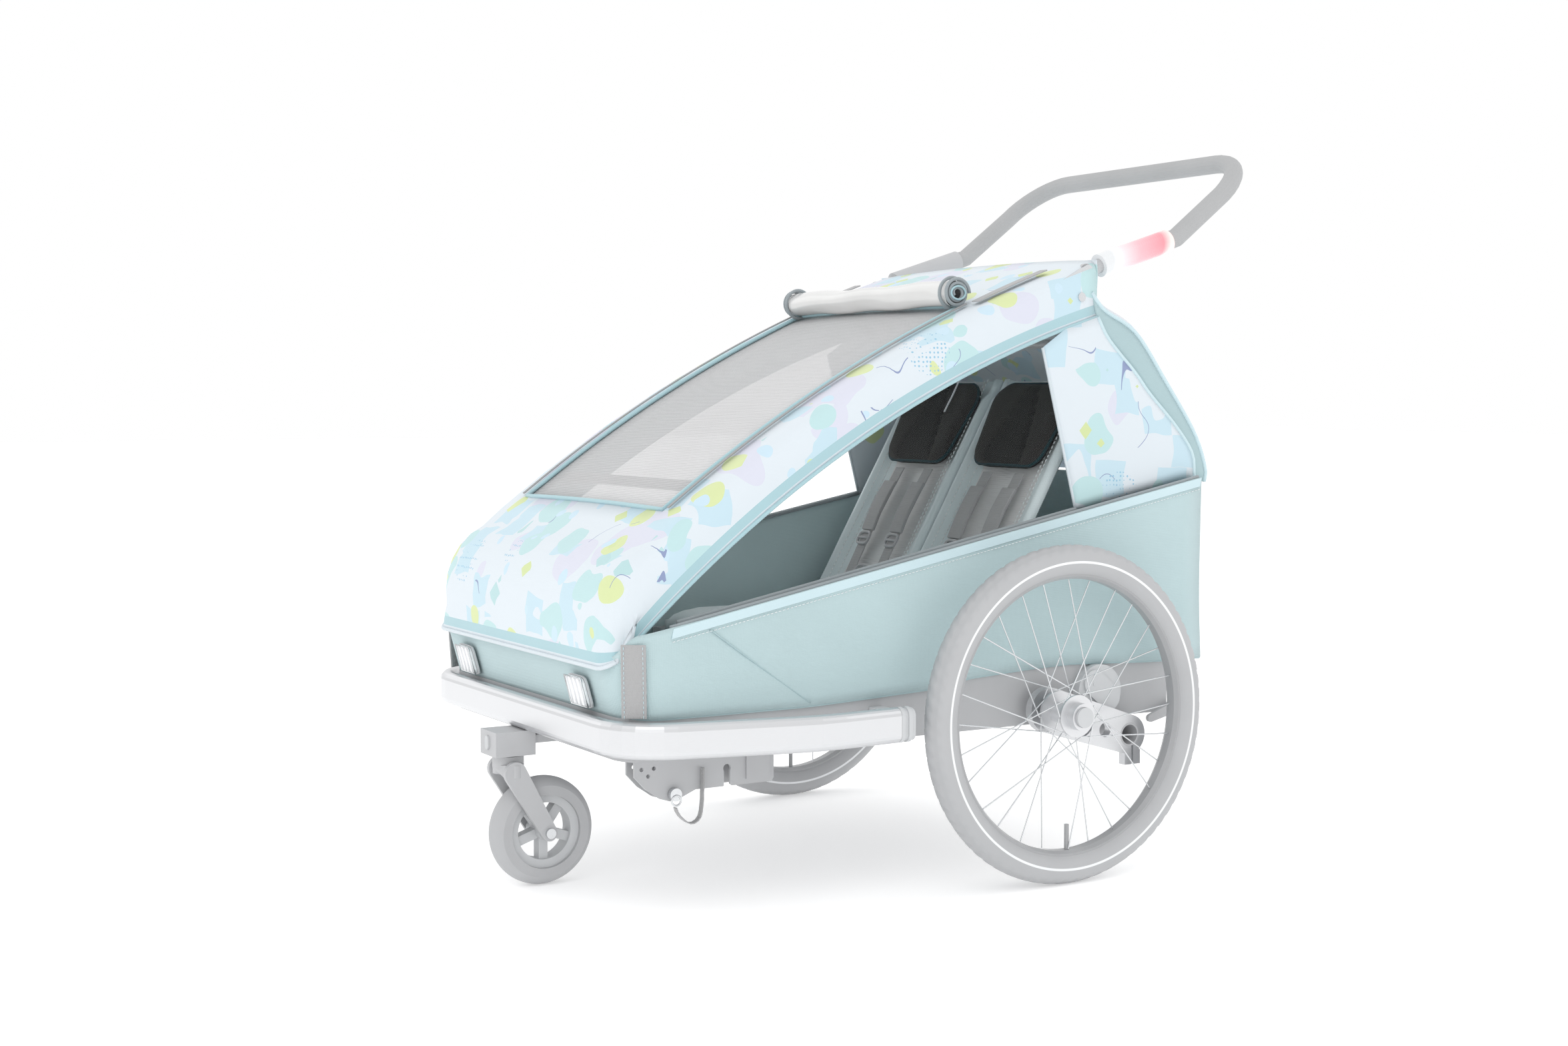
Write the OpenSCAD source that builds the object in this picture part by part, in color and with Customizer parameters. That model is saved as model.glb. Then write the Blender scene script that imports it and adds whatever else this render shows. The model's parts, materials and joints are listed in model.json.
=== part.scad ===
// Two-seat child bicycle trailer with a caster wheel and a push bar.
// +X is the trailer's left, -Y is the front, +Z is up, and the ground is z = 0.
// Inside each module y is measured from the main axle; place() moves it to the row frame.

/* [Overall] */
// Distance between the middle planes of the two main wheels
track = 790; // [770:5:950]
// Distance from the main axle forward to the caster axle
wheelbase = 667; // [600:5:800]
// Half width of the side fabric, outside face
tub_half = 322; // [300:1:330]
// Height of the fabric's lower edge
hem_z = 284; // [275:1:300]

/* [Main wheels] */
// Outer diameter of the tyre
wheel_d = 500; // [400:5:600]
// Width of the tyre
tyre_w = 47; // [35:1:50]
// Outer diameter of the rim
rim_d = 426; // [330:1:520]
// Inner diameter of the rim
rim_in_d = 400; // [300:1:500]
// Width of the rim
rim_w = 27; // [22:1:30]
// Spokes in each wheel
spokes = 28; // [20:4:36]
// Diameter of the hub flanges
flange_d = 62; // [54:1:76]
// Distance between the two hub flanges
flange_gap = 46; // [40:1:50]

/* [Caster] */
// Diameter of the caster wheel
caster_d = 160; // [130:2:180]
// Width of the caster tyre
caster_w = 44; // [30:1:50]
// Distance that the caster axle trails behind the swivel axis
trail = 51; // [40:1:58]
// Diameter of the swivel stem
stem_d = 16; // [12:1:22]

/* [Push bar] */
// Outer diameter of the push bar tube
bar_d = 22; // [18:1:25]
// Outer diameter of the foam grip
foam_d = 30; // [26:1:36]
// Half distance between the two arms of the push bar
arm_x = 283; // [250:1:283]
// Height of the push bar hinge
hinge_z = 908; // [880:1:960]
// Length of an arm from its hinge to its bend
arm_len = 216; // [190:1:260]
// Length of the loop from the bend to the cross part
loop_len = 194; // [160:1:240]
// Slope of the arms, in degrees
arm_slope = 17.5; // [10:0.5:25]
// Slope of the loop, in degrees
loop_slope = 41; // [30:1:50]
// Radius of the loop's corners
loop_r = 90; // [70:5:110]

/* [Frame] */
// Diameter of the upper frame's tubes
hoop_d = 20; // [16:1:24]
// Half distance between the upper frame's side tubes
hoop_x = 284; // [270:1:284]
// Diameter of the rear leg tubes
leg_d = 18; // [14:1:20]
// Side of the base frame's square tubes
rail = 24; // [20:1:28]
// Height and thickness of the oval bumper tube
bumper_size = [26, 50]; // [20:1:60]

/* [Seats] */
// Width of one seat
seat_w = 248; // [200:1:250]
// Slope of the seat backs, in degrees
back_slope = 60; // [55:1:70]
// Thickness of a seat cushion
cushion_t = 42; // [30:1:45]
// Size of a headrest pad: top width, bottom width, height
pad_size = [212, 168, 150]; // [100:1:230]
// Thickness of a headrest pad
pad_t = 26; // [18:1:30]

/* [Hidden] */
$fn = 48;
gap = 0.3;
// Radial clearance of a pin that turns or slides in its hole
fit = 0.08;

// Main stations, y from the main axle
stem_y = -wheelbase - trail;
housing = [58, 62, 36];
front_y = -wheelbase - 26;
rear_y = 236;
hinge_y = 115;
bend = [hinge_y + arm_len * cos(arm_slope), hinge_z + arm_len * sin(arm_slope)];
cross = bend + loop_len * [cos(loop_slope), sin(loop_slope)];
button_out = 3;
front_reach = max(wheelbase + caster_d / 2, -stem_y + housing[1] / 2 + button_out);
rear_reach = cross[0] + foam_d / 2;
mid_y = (rear_reach - front_reach) / 2;

wheel_r = wheel_d / 2;
wheel_x = track / 2;
caster_r = caster_d / 2;

// Fabric
cloth = 3;
wall = 4;
canopy_x = 301;
window_x = canopy_x + gap;
belt = [[front_y, 390], [324, 590]];
lip = 3;
slope_start = [front_y + 53, 512];
roof_end = [128, 926];
nose_low = [front_y - 14, 352];
edge_front = [front_y + 10, 366];
edge_rear = [128, 838];
roof_bow = 40;
edge_bow = 58;
nose_bow = 24;
screen_x = 238;

// Frame
pan_z = 225;
pan_t = 4;
pan_half = tub_half - wall + 1;
pan_front = front_y + 12;
pan_rear = rear_y + 22;
rail_x = pan_half - pan_t - rail / 2 - 1;
rail_z = pan_z + pan_t + gap + rail / 2;
rail_front = front_y + 34;
rail_rear = 214;
front_pivot = [rail_front + rail / 2, 408];
knuckle = [72, 886];
knee = [286, 600];
foot = [rail_rear - rail / 2, 300];
bolt_d = 8;
bolt_play = 2 * fit;
boss_d = 24;
side_play = 0.4;
upper_x = hoop_x - hoop_d / 2 - leg_d / 2 - side_play;
lower_x = upper_x + leg_d + 1.5 * side_play;

// Suspension and main wheels
pivot = [154, 201];
tube_d = 36;
arm_in = 340;
arm_out = arm_in + 14;
hub_in = wheel_x - flange_gap / 2 - 3;
axle_d = 12;
lace = 62;

// Seats
seat_front = -330;
seat_top = 372;
back_foot = [-40, seat_top + gap];
back_len = 430;
back_t = 20;

// Bumper route, half of it: rear end, side bend, front corner
bumper_z = 258;
bumper_front = front_y - 4;
bumper_path = [[392, -300], [400, -430], [338, bumper_front]];

// Geometry helpers ------------------------------------------------------

module place() {
    translate([0, -mid_y, 0]) children();
}

// The same shape on the left and on the right
module both() {
    children();
    mirror([1, 0, 0]) children();
}

// Extrudes a (y, z) outline along x from x0 to x1
module across(x0, x1) {
    translate([x0, 0, 0]) rotate([90, 0, 90]) linear_extrude(height = x1 - x0) children();
}

function unit(v) = v / norm(v);

// Points on a circular arc from p to q that bulges to the left of p-q by sag
function arc(p, q, sag, n) =
    let (chord = norm(q - p), r = (chord * chord / 4 + sag * sag) / (2 * sag),
         u = unit(q - p), left = [-u[1], u[0]],
         c = (p + q) / 2 - (r - sag) * left, half = asin(chord / 2 / r))
    [for (i = [0 : n]) let (a = -half + 2 * half * i / n) c + r * (left * cos(a) + u * sin(a))];

// Moves a polyline by d to its left side
function beside(pts, d) =
    [for (i = [0 : len(pts) - 1])
        let (a = pts[max(i - 1, 0)], b = pts[min(i + 1, len(pts) - 1)], u = unit(b - a))
        pts[i] + d * [-u[1], u[0]]];

function backwards(v) = [for (i = [len(v) - 1 : -1 : 0]) v[i]];

// A strip of cloth along a polyline, t thick on its right side
module strip(pts, t) {
    polygon(concat(pts, backwards(beside(pts, -t))));
}

function cross_of(a, b) = [a[1] * b[2] - a[2] * b[1], a[2] * b[0] - a[0] * b[2], a[0] * b[1] - a[1] * b[0]];

// A corner of a polyline rounded to radius r, as points on the arc
function corner(a, b, c, r) =
    let (u = unit(b - a), v = unit(c - b), t = acos(u * v), back = r * tan(t / 2),
         w = unit(cross_of(cross_of(u, v), u)), o = b - back * u + r * w, n = max(2, ceil(t / 11)))
    [for (k = [0 : n]) o - r * w * cos(t * k / n) + r * u * sin(t * k / n)];

// A polyline in one plane with its inner corners rounded to the given radii
function rounded(pts, radii) = concat([pts[0]],
    [for (i = [1 : len(pts) - 2]) each corner(pts[i - 1], pts[i], pts[i + 1], radii[i - 1])],
    [pts[len(pts) - 1]]);

// Profile points of a circle, and of an upright oval
function ring(r, n) = [for (k = [0 : n - 1]) let (a = 360 * (k + 0.5) / n) [r * cos(a), r * sin(a)]];
function oval(w, h, n) = [for (p = ring(w / 2, n)) p + [0, (h - w) / 2 * sign(p[1])]];

// Sweeps a closed profile along a path that lies in the plane with this normal.
// The profile's x axis stays in the plane and its y axis along the normal.
function swept(path, normal, profile) = [for (i = [0 : len(path) - 1])
    let (n = len(path), u = unit(path[min(i + 1, n - 1)] - path[max(i - 1, 0)]),
         v = unit(path[min(i + 1, n - 1)] - path[max(i, 0) == n - 1 ? i - 1 : i]),
         side = cross_of(u, normal), grow = 1 / max(0.5, abs(u * v)))
    for (p = profile) path[i] + side * p[0] * grow + normal * p[1]];

module solid_sweep(path, normal, profile) {
    n = len(profile);
    m = len(path);
    polyhedron(points = swept(path, normal, profile), faces = concat(
        [[for (k = [n - 1 : -1 : 0]) k]], [[for (k = [0 : n - 1]) n * (m - 1) + k]],
        [for (i = [0 : m - 2], k = [0 : n - 1]) let (q = (k + 1) % n)
            [n * i + k, n * i + q, n * (i + 1) + q, n * (i + 1) + k]]));
}

// The same, hollow: inner is the profile of the bore
module pipe_sweep(path, normal, outer, inner) {
    n = len(outer);
    m = len(path);
    e = n * m;
    polyhedron(points = concat(swept(path, normal, outer), swept(path, normal, inner)), faces = concat(
        [for (i = [0 : m - 2], k = [0 : n - 1]) let (q = (k + 1) % n)
            [n * i + k, n * i + q, n * (i + 1) + q, n * (i + 1) + k]],
        [for (i = [0 : m - 2], k = [0 : n - 1]) let (q = (k + 1) % n)
            [e + n * i + k, e + n * (i + 1) + k, e + n * (i + 1) + q, e + n * i + q]],
        [for (k = [0 : n - 1]) let (q = (k + 1) % n) [k, e + k, e + q, q]],
        [for (k = [0 : n - 1]) let (q = (k + 1) % n, f = n * (m - 1)) [f + k, f + q, e + f + q, e + f + k]]));
}

module pipe(d, t) {
    difference() {
        circle(d = d);
        circle(d = d - 2 * t);
    }
}

module rod(a, b, d) {
    v = b - a;
    translate(a) rotate([0, acos(v[2] / norm(v)), atan2(v[1], v[0])]) cylinder(h = norm(v), d = d);
}

module x_rod(p, x0, x1, d) {
    translate([x0, p[0], p[1]]) rotate([0, 90, 0]) cylinder(h = x1 - x0, d = d);
}

module plan_round(half, y0, y1, r) {
    hull() {
        for (s = [-1, 1]) translate([s * (half - r), y0 + r]) circle(r);
        translate([-half, y1 - 1]) square([2 * half, 1]);
    }
}

function belt_z(y) = belt[0][1] + (belt[1][1] - belt[0][1]) * (y - belt[0][0]) / (belt[1][0] - belt[0][0]);

// Lower edge of the tub seen from the side: it rises over the suspension
hem = [for (p = [[front_y, 0], [-400, 0], [-302, 4], [-192, 9], [-127, 20], [-4, 27], [60, 29], [rear_y - 4, 22]])
       [p[0], hem_z + p[1]]];
// Outline of the tub seen from the side, from the hem to the belt
rear_edge = [hem[7], [237, 337], [250, 420], [270, 471], [292, 540], belt[1]];
module tub_side() {
    polygon(concat([for (i = [0 : 6]) hem[i]], rear_edge, [[front_y, belt_z(front_y)]]));
}

// Base --------------------------------------------------------------------

// A square tube across the trailer with its lower front edge at (y, z)
module cross_rail(y, z) {
    translate([-rail_x, y, z]) cube([2 * rail_x, rail, rail]);
}

// An upright lug of the base frame with a bolt hole at p
module lug(x, p) {
    difference() {
        translate([x, p[0] - rail / 2 + gap, rail_z])
            cube([5, rail - 2 * gap, p[1] - rail_z + boss_d / 2]);
        x_rod(p, 0, 400, bolt_d);
    }
}

seat_rails = [seat_front + 10, back_foot[0] - 60];
seat_rail_z = seat_top - cushion_t - gap - rail;
module base_frame() {
    color("dimgray") both() translate([rail_x - rail / 2, rail_front + rail, rail_z - rail / 2])
        cube([rail, rail_rear - rail_front - rail, rail]);
    color("dimgray") for (y = [rail_front, rail_rear - rail]) cross_rail(y, rail_z - rail / 2);
    color("dimgray") both() lug(hoop_x - hoop_d / 2 - gap - 5, front_pivot);
    color("dimgray") both() lug(lower_x - leg_d / 2 - gap - 5, foot);
}

// Two tubes under the seats, on posts
module seat_frame() {
    post_z = rail_z + rail / 2;
    color("dimgray") for (y = seat_rails) cross_rail(y, seat_rail_z);
    color("dimgray") both() for (y = seat_rails)
        translate([rail_x - rail / 2, y, post_z]) cube([rail, rail, seat_rail_z + rail - post_z]);
}

module base_bolts() {
    color("silver") both() x_rod(front_pivot, hoop_x - hoop_d / 2 - 8, hoop_x + hoop_d / 2 + 2, bolt_d);
    color("silver") both() x_rod(foot, lower_x - leg_d / 2 - 8, lower_x + leg_d / 2 + 2, bolt_d);
}

brake_shaft = [pan_rear + gap + 6, 232];
module floor_pan() {
    color("dimgray") difference() {
        translate([0, 0, pan_z]) linear_extrude(height = hem[6][1] - pan_z)
            plan_round(pan_half, pan_front, pan_rear, 50);
        translate([0, 0, pan_z + pan_t]) linear_extrude(height = 100)
            plan_round(pan_half - pan_t, pan_front + pan_t, pan_rear - pan_t, 46);
        // The rim follows the tub's lower edge
        across(-400, 400) polygon(concat([for (p = hem) p - [0, gap]],
                                         [[pan_rear + 10, hem[7][1] - gap], [pan_rear + 10, 400], [front_y, 400]]));
        // Notches for the rear legs when they are folded down
        both() translate([lower_x - leg_d / 2 - 2, pan_rear - 36, foot[1] - 24]) cube([leg_d + 4, 40, 60]);
    }
    // Clips that hold the brake shaft
    color("dimgray") both() difference() {
        translate([200, pan_rear - 1, brake_shaft[1] - 8]) cube([14, 15, 17]);
        x_rod(brake_shaft, 0, 400, 10 + 2 * fit);
    }
}

// The front part of the tub, with rounded corners. Its top is cut down where the hood passes over it.
corner_r = 58;
front_end = front_y + 2 * corner_r + 4;
hood_sill = 364;
module tub_front() {
    color("cadetblue") intersection() {
        difference() {
            translate([0, 0, hem_z]) linear_extrude(height = 200)
                plan_round(tub_half, front_y, front_end, corner_r);
            translate([0, 0, hem_z - 1]) linear_extrude(height = 202)
                plan_round(tub_half - wall, front_y + wall, front_end + 2, corner_r - wall);
        }
        across(-400, 400) polygon([[front_y, hem_z], [front_end, hem_z], [front_end, belt_z(front_end)],
                                   [front_y + 22, belt_z(front_y + 22)], [front_y + 20, hood_sill],
                                   [front_y + 6, hood_sill], [front_y, nose_low[1] - 2]]);
    }
}

lip_end = belt[1][0] - 12;
module tub_wall() {
    intersection() {
        union() {
            translate([tub_half - wall, front_end + gap, hem_z]) cube([wall, 600 - front_y, 400]);
            // Lip along the belt that the side window closes onto
            across(canopy_x + 2 * gap, tub_half - 1)
                polygon([for (p = [[front_end + gap, 0], [lip_end, 0], [lip_end, -lip], [front_end + gap, -lip]])
                    [p[0], belt_z(p[0]) + p[1]]]);
        }
        across(0, 400) tub_side();
    }
}

module tub_left() { color("cadetblue") tub_wall(); }
module tub_right() { color("cadetblue") mirror([1, 0, 0]) tub_wall(); }

module tub_rear() {
    color("cadetblue") across(-tub_half + wall + gap, tub_half - wall - gap) intersection() {
        strip(backwards([for (p = rear_edge) p - [0.5, 0]]), cloth);
        tub_side();
    }
}

module bumper() {
    side = [for (p = bumper_path) [p[0], p[1], bumper_z]];
    full = concat(side, [for (p = backwards(side)) [-p[0], p[1], p[2]]]);
    color("silver") pipe_sweep(rounded(full, [260, 90, 90, 260]), [0, 0, 1],
                               oval(bumper_size[0], bumper_size[1], 20),
                               oval(bumper_size[0] - 4.4, bumper_size[1] - 4.4, 20));
}

module bumper_oval(inset) {
    r = bumper_size[0] / 2 - inset;
    h = bumper_size[1] / 2 - inset - r;
    translate([-r, -h]) square([2 * r, 2 * h]);
    for (s = [-1, 1]) translate([0, s * h]) circle(r);
}

module bumper_sockets() {
    end = bumper_path[0] + [0, 0.8];
    color("dimgray") both() union() {
        // Ribbed sleeve behind each end of the tube
        for (i = [0 : 3]) translate([end[0], end[1] + gap + 6 * i, bumper_z]) rotate([-90, 0, 0])
            linear_extrude(height = 6) bumper_oval(i % 2 == 0 ? 0 : 2);
        // Arm to the side of the floor pan
        translate([pan_half + gap, end[1] + gap, bumper_z - 16])
            cube([end[0] - pan_half - 5, 22, 32]);
    }
}

reflector = [56, 46];
module front_reflectors() {
    color("white") both() translate([201, front_y - gap, 312]) rotate([90, 0, 0])
        linear_extrude(height = 11) difference() {
            square(reflector, center = true);
            for (x = [-1, 1]) translate([x * reflector[0] / 3, 0]) square([3, reflector[1] - 10], center = true);
        }
}

module corner_straps() {
    top = belt_z(front_y) - 6;
    color("dimgray") both() translate([tub_half - corner_r, front_y + corner_r, 0]) rotate([0, 0, -35])
        translate([corner_r + gap, 0, 0]) union() {
            translate([0, -17, 296]) cube([3, 34, top - 296]);
            translate([0, -21, 318]) cube([9, 42, 24]);
        }
}

// Hitch -------------------------------------------------------------------

hitch_x = [236, 264];
hitch_pin_at = [-585, 168];
module hitch_plate() {
    difference() {
        polygon([[-645, 222], [-645, 196], [-628, 178], [-606, 163], [-590, 158], [-572, 162],
                 [-550, 171], [-506, 171], [-498, 176], [-492, 171], [-428, 171], [-424, 176],
                 [-424, 222]]);
        for (p = [[-634, 206], [-615, 206], [-624, 196], hitch_pin_at])
            translate(p) circle(d = p == hitch_pin_at ? 10.4 : 6);
        // Hooked slot for the tow arm's latch
        translate([-500, 196]) circle(d = 12);
        translate([-505, 165]) square([10, 30]);
    }
}

module hitch_bracket() {
    color("dimgray") for (x = [hitch_x[0], hitch_x[1] - 4]) across(x, x + 4) hitch_plate();
    color("dimgray") translate([hitch_x[0] + 4, -640, 218]) cube([hitch_x[1] - hitch_x[0] - 8, 214, 4]);
    // Raised pad on the outer plate
    color("dimgray") across(hitch_x[1] - gap / 3, hitch_x[1] + 3)
        translate([-470, 178]) square([38, 34]);
    // Screws up into the floor
    color("dimgray") for (y = [-600, -460])
        translate([(hitch_x[0] + hitch_x[1]) / 2, y, 221]) cylinder(h = pan_z - 221 - gap / 3, d = 10);
}

module hitch_pin() {
    color("silver") union() {
        x_rod(hitch_pin_at, hitch_x[0] - 6, hitch_x[1] + 9, 10);
        x_rod(hitch_pin_at, hitch_x[1] + 1, hitch_x[1] + 9, 18);
        // Eye for the strap
        translate([hitch_x[1] + 9, hitch_pin_at[0], hitch_pin_at[1] - 8])
            rotate([0, 90, 0]) rotate_extrude() translate([7, 0]) circle(d = 3, $fn = 16);
    }
}

// Webbing that keeps the pin with the bracket: a flat loop that hangs from the pin's eye
// and comes back up to the plate. The route is (y, z) points.
strap_route = [[-585, 150], [-583, 144], [-579, 138], [-574, 133], [-569, 129], [-563, 126],
               [-557, 126], [-551, 129], [-547, 134], [-545, 141], [-544, 149], [-543, 158],
               [-543, 167], [-542, 176], [-542, 185], [-542, 194], [-542, 202]];
strap_w = 10;
strap_t = 2;
strap_x = hitch_x[1] + strap_w / 2 + 2 * gap;
module hitch_strap() {
    color("dimgray") solid_sweep([for (p = strap_route) [strap_x, p[0], p[1]]], [1, 0, 0],
        [for (k = [0 : 7]) [strap_t / 2 * cos(45 * k + 22.5), strap_w / 2 * sin(45 * k + 22.5)]]);
}

// Caster ------------------------------------------------------------------

housing_top = bumper_z - bumper_size[1] / 2 - gap;
crown_top = housing_top - housing[2] - 1;
module caster_bracket() {
    color("dimgray") difference() {
        union() {
            translate([-housing[0] / 2, stem_y - housing[1] / 2, housing_top - housing[2]])
                cube(housing);
            // Tongue back to the floor
            translate([-housing[0] / 2 + 6, stem_y, pan_z - gap - 12])
                cube([housing[0] - 12, 140, 12]);
        }
        translate([0, stem_y, housing_top - housing[2] - 1]) cylinder(h = 32, d = stem_d + 2 * fit);
        translate([0, stem_y - housing[1] / 2 - 1, housing_top - 17]) rotate([-90, 0, 0])
            linear_extrude(height = 9) button_outline(gap);
    }
}

module button_outline(grow) {
    for (s = [-1, 1]) translate([0, 4 * s]) circle(d = 12 + 2 * grow);
    translate([-6 - grow, -4]) square([12 + 2 * grow, 8]);
}

module caster_button() {
    color("gainsboro") translate([0, stem_y - housing[1] / 2 - button_out, housing_top - 17])
        rotate([-90, 0, 0]) linear_extrude(height = 6) button_outline(0);
}

fork_in = caster_w / 2 + 4;
module caster_fork() {
    color("dimgray") difference() {
        union() {
            translate([0, stem_y, crown_top - 2]) cylinder(h = 30, d = stem_d);
            translate([0, stem_y, crown_top - 18]) cylinder(h = 17, d = 46);
            // Crown and the two arms down to the axle
            both() hull() {
                translate([fork_in - 6, stem_y, crown_top - 30]) cylinder(h = 18, d = 30, $fn = 32);
                translate([0, stem_y, crown_top - 18]) cylinder(h = 4, d = 44, $fn = 32);
            }
            both() hull() {
                x_rod([stem_y - 2, crown_top - 24], fork_in, fork_in + 8, 34, $fn = 32);
                x_rod([-wheelbase, caster_r], fork_in, fork_in + 8, 24, $fn = 32);
            }
        }
        x_rod([-wheelbase, caster_r], -60, 60, 8 + 2 * fit);
        // Room for the wheel
        x_rod([-wheelbase, caster_r], -fork_in + 0.01, fork_in - 0.01, caster_d + 8);
    }
}

module caster_axle() {
    color("silver") x_rod([-wheelbase, caster_r], -fork_in - 10, fork_in + 10, 8);
    color("silver") both() x_rod([-wheelbase, caster_r], fork_in + 8 + gap / 3, fork_in + 13, 15);
}

module caster_rim() {
    color("dimgray") translate([0, -wheelbase, caster_r]) rotate([0, 90, 0]) difference() {
        union() {
            rotate_extrude() polygon([[42, -14], [54, -16], [54, 16], [42, 14]]);
            cylinder(h = 2 * fork_in - 2, d = 26, center = true);
            for (k = [0 : 4]) rotate([0, 0, 72 * k]) translate([0, -7, -9]) cube([46, 14, 18]);
        }
        cylinder(h = 80, d = 8 + 2 * fit, center = true);
    }
}

module caster_tyre() {
    color("dimgray") translate([0, -wheelbase, caster_r]) rotate([0, 90, 0]) rotate_extrude($fn = 96)
        difference() {
            intersection() {
                translate([caster_r - 26, 0]) scale(1) circle(26);
                translate([0, -caster_w / 2]) square([caster_r, caster_w]);
            }
            square([2 * 54 + 0.2, 100], center = true);
        }
}

// Suspension and main wheels ----------------------------------------------

module suspension_tube() {
    color("dimgray") translate([-arm_out, pivot[0], pivot[1]]) rotate([0, 90, 0])
        linear_extrude(height = 2 * arm_out) pipe(tube_d, 3);
    // Hangers up to the floor
    color("dimgray") both() difference() {
        across(270, 276) polygon([[120, pan_z - gap], [188, pan_z - gap], [188, 190], [154, 176], [120, 190]]);
        x_rod(pivot, 0, 400, tube_d - 1);
    }
}

module elastomer() {
    // Round rubber block in its cover, between the floor's side and the arm
    centre = [112, 268];
    x_rod(centre, pan_half + gap, arm_in - 6, 82);
    difference() {
        across(arm_in - 6.5, arm_in - 2) hull() {
            translate(centre + [-12, 14]) circle(20, $fn = 32);
            translate(centre + [16, -10]) circle(20, $fn = 32);
        }
        for (p = [[-14, 12], [14, -8]]) x_rod(centre + p, 0, 500, 5);
    }
    for (p = [[-14, 12], [14, -8]]) x_rod(centre + p, arm_in - 7, arm_in - 1, 5);
}

module elastomer_left() { color("lightgray") elastomer(); }
module elastomer_right() { color("lightgray") mirror([1, 0, 0]) elastomer(); }

module swing_arm() {
    difference() {
        union() {
            across(arm_in, arm_out) difference() {
                hull() {
                    translate(pivot) circle(30, $fn = 32);
                    translate([0, wheel_r]) circle(34, $fn = 32);
                }
                // Cut-outs behind the hub
                translate([62, 226]) circle(21);
                translate([106, 212]) circle(11);
            }
            // Clamp's ears below the tube
            translate([arm_in, pivot[0] - 9, pivot[1] - 46]) cube([arm_out - arm_in, 30, 22]);
        }
        x_rod(pivot, 0, 500, tube_d + 2 * fit);
        translate([arm_in - 1, pivot[0] + 4, pivot[1] - 50]) cube([20, 3, 36]);
        x_rod([0, wheel_r], 0, 500, axle_d);
    }
    // Stub axle that the wheel's hub turns on
    x_rod([0, wheel_r], arm_in + 1, wheel_x + 22, axle_d);
}

module swing_arm_left() { color("silver") swing_arm(); }
module swing_arm_right() { color("silver") mirror([1, 0, 0]) swing_arm(); }

// Foot lever of the parking brake, on a cross shaft behind the floor
module brake_lever() {
    color("dimgray") union() {
        x_rod(brake_shaft, -330, 330, 10);
        both() across(326, 332) hull() {
            translate(brake_shaft) circle(9, $fn = 32);
            translate(brake_shaft + [-48, -14]) circle(6, $fn = 32);
        }
        across(-45, 45) hull() {
            translate(brake_shaft) circle(6, $fn = 32);
            translate(brake_shaft + [38, 12]) circle(5, $fn = 32);
        }
    }
}

module wheel_at() {
    translate([wheel_x, 0, wheel_r]) rotate([0, 90, 0]) children();
}

// How far a hub button can be pressed in
press = 3.3;
module hub() {
    h = flange_gap / 2;
    wheel_at() difference() {
        union() {
            cylinder(h = 2 * h, d = 30, center = true);
            for (s = [-1, 1]) translate([0, 0, s * h]) cylinder(h = 3.6, d = flange_d, center = true);
            translate([0, 0, h]) cylinder(h = 16, d = 40);
            translate([0, 0, -h - 10]) cylinder(h = 10, d = 34);
        }
        translate([0, 0, -60]) cylinder(h = 60 + h + 4, d = axle_d + 2 * fit);
        translate([0, 0, h + 6 - press]) cylinder(h = 20, d = 30);
    }
}

// A spoke from the edge of a flange to the rim, laced across its neighbours
module spoke(k) {
    a = 360 / spokes * k;
    side = k % 2 == 0 ? 1 : -1;
    lean = floor(k / 2) % 2 == 0 ? 1 : -1;
    b = a + lean * lace;
    inner = flange_d / 2 + 1.5;
    outer = rim_in_d / 2 - 1.2;
    rod([inner * cos(b), inner * sin(b), side * (flange_gap / 2 + lean * 1.3)],
        [outer * cos(a), outer * sin(a), side * (3 + lean * 1.3)], 2);
}

module spoke_set() {
    wheel_at() for (k = [0 : spokes - 1]) spoke(k);
}

module rim() {
    wheel_at() rotate_extrude($fn = 120) difference() {
        polygon([[rim_in_d / 2, -7], [rim_in_d / 2 + 4, -rim_w / 2], [rim_d / 2, -rim_w / 2],
                 [rim_d / 2, rim_w / 2], [rim_in_d / 2 + 4, rim_w / 2], [rim_in_d / 2, 7]]);
        translate([rim_d / 2 - 6, -rim_w / 2 + 2]) square([8, rim_w - 4]);
    }
    // Valve at the lowest point
    translate([wheel_x, 0, wheel_r - rim_in_d / 2 - 1]) cylinder(h = 38, d = 7);
}

module tyre() {
    r = tyre_w / 2;
    wheel_at() rotate_extrude($fn = 120) difference() {
        translate([wheel_r - r, 0]) circle(r);
        translate([wheel_r - r, 0]) circle(r - 3.5);
        translate([0, -rim_w / 2 - 0.2]) square([rim_d / 2 + 0.2, rim_w + 0.4]);
    }
}

module hub_button() {
    translate([wheel_x + flange_gap / 2 + 6 + gap, 0, wheel_r]) rotate([0, 90, 0])
        cylinder(h = 14, d = 29.4);
}

module left_hub() { color("silver") hub(); }
module left_spokes() { color("silver") spoke_set(); }
module left_rim() { color("dimgray") rim(); }
module left_tyre() { color("dimgray") tyre(); }
module left_hub_button() { color("gainsboro") hub_button(); }
module right_hub() { color("silver") mirror([1, 0, 0]) hub(); }
module right_spokes() { color("silver") mirror([1, 0, 0]) spoke_set(); }
module right_rim() { color("dimgray") mirror([1, 0, 0]) rim(); }
module right_tyre() { color("dimgray") mirror([1, 0, 0]) tyre(); }
module right_hub_button() { color("gainsboro") mirror([1, 0, 0]) hub_button(); }

// Upper frame ---------------------------------------------------------------

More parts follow.
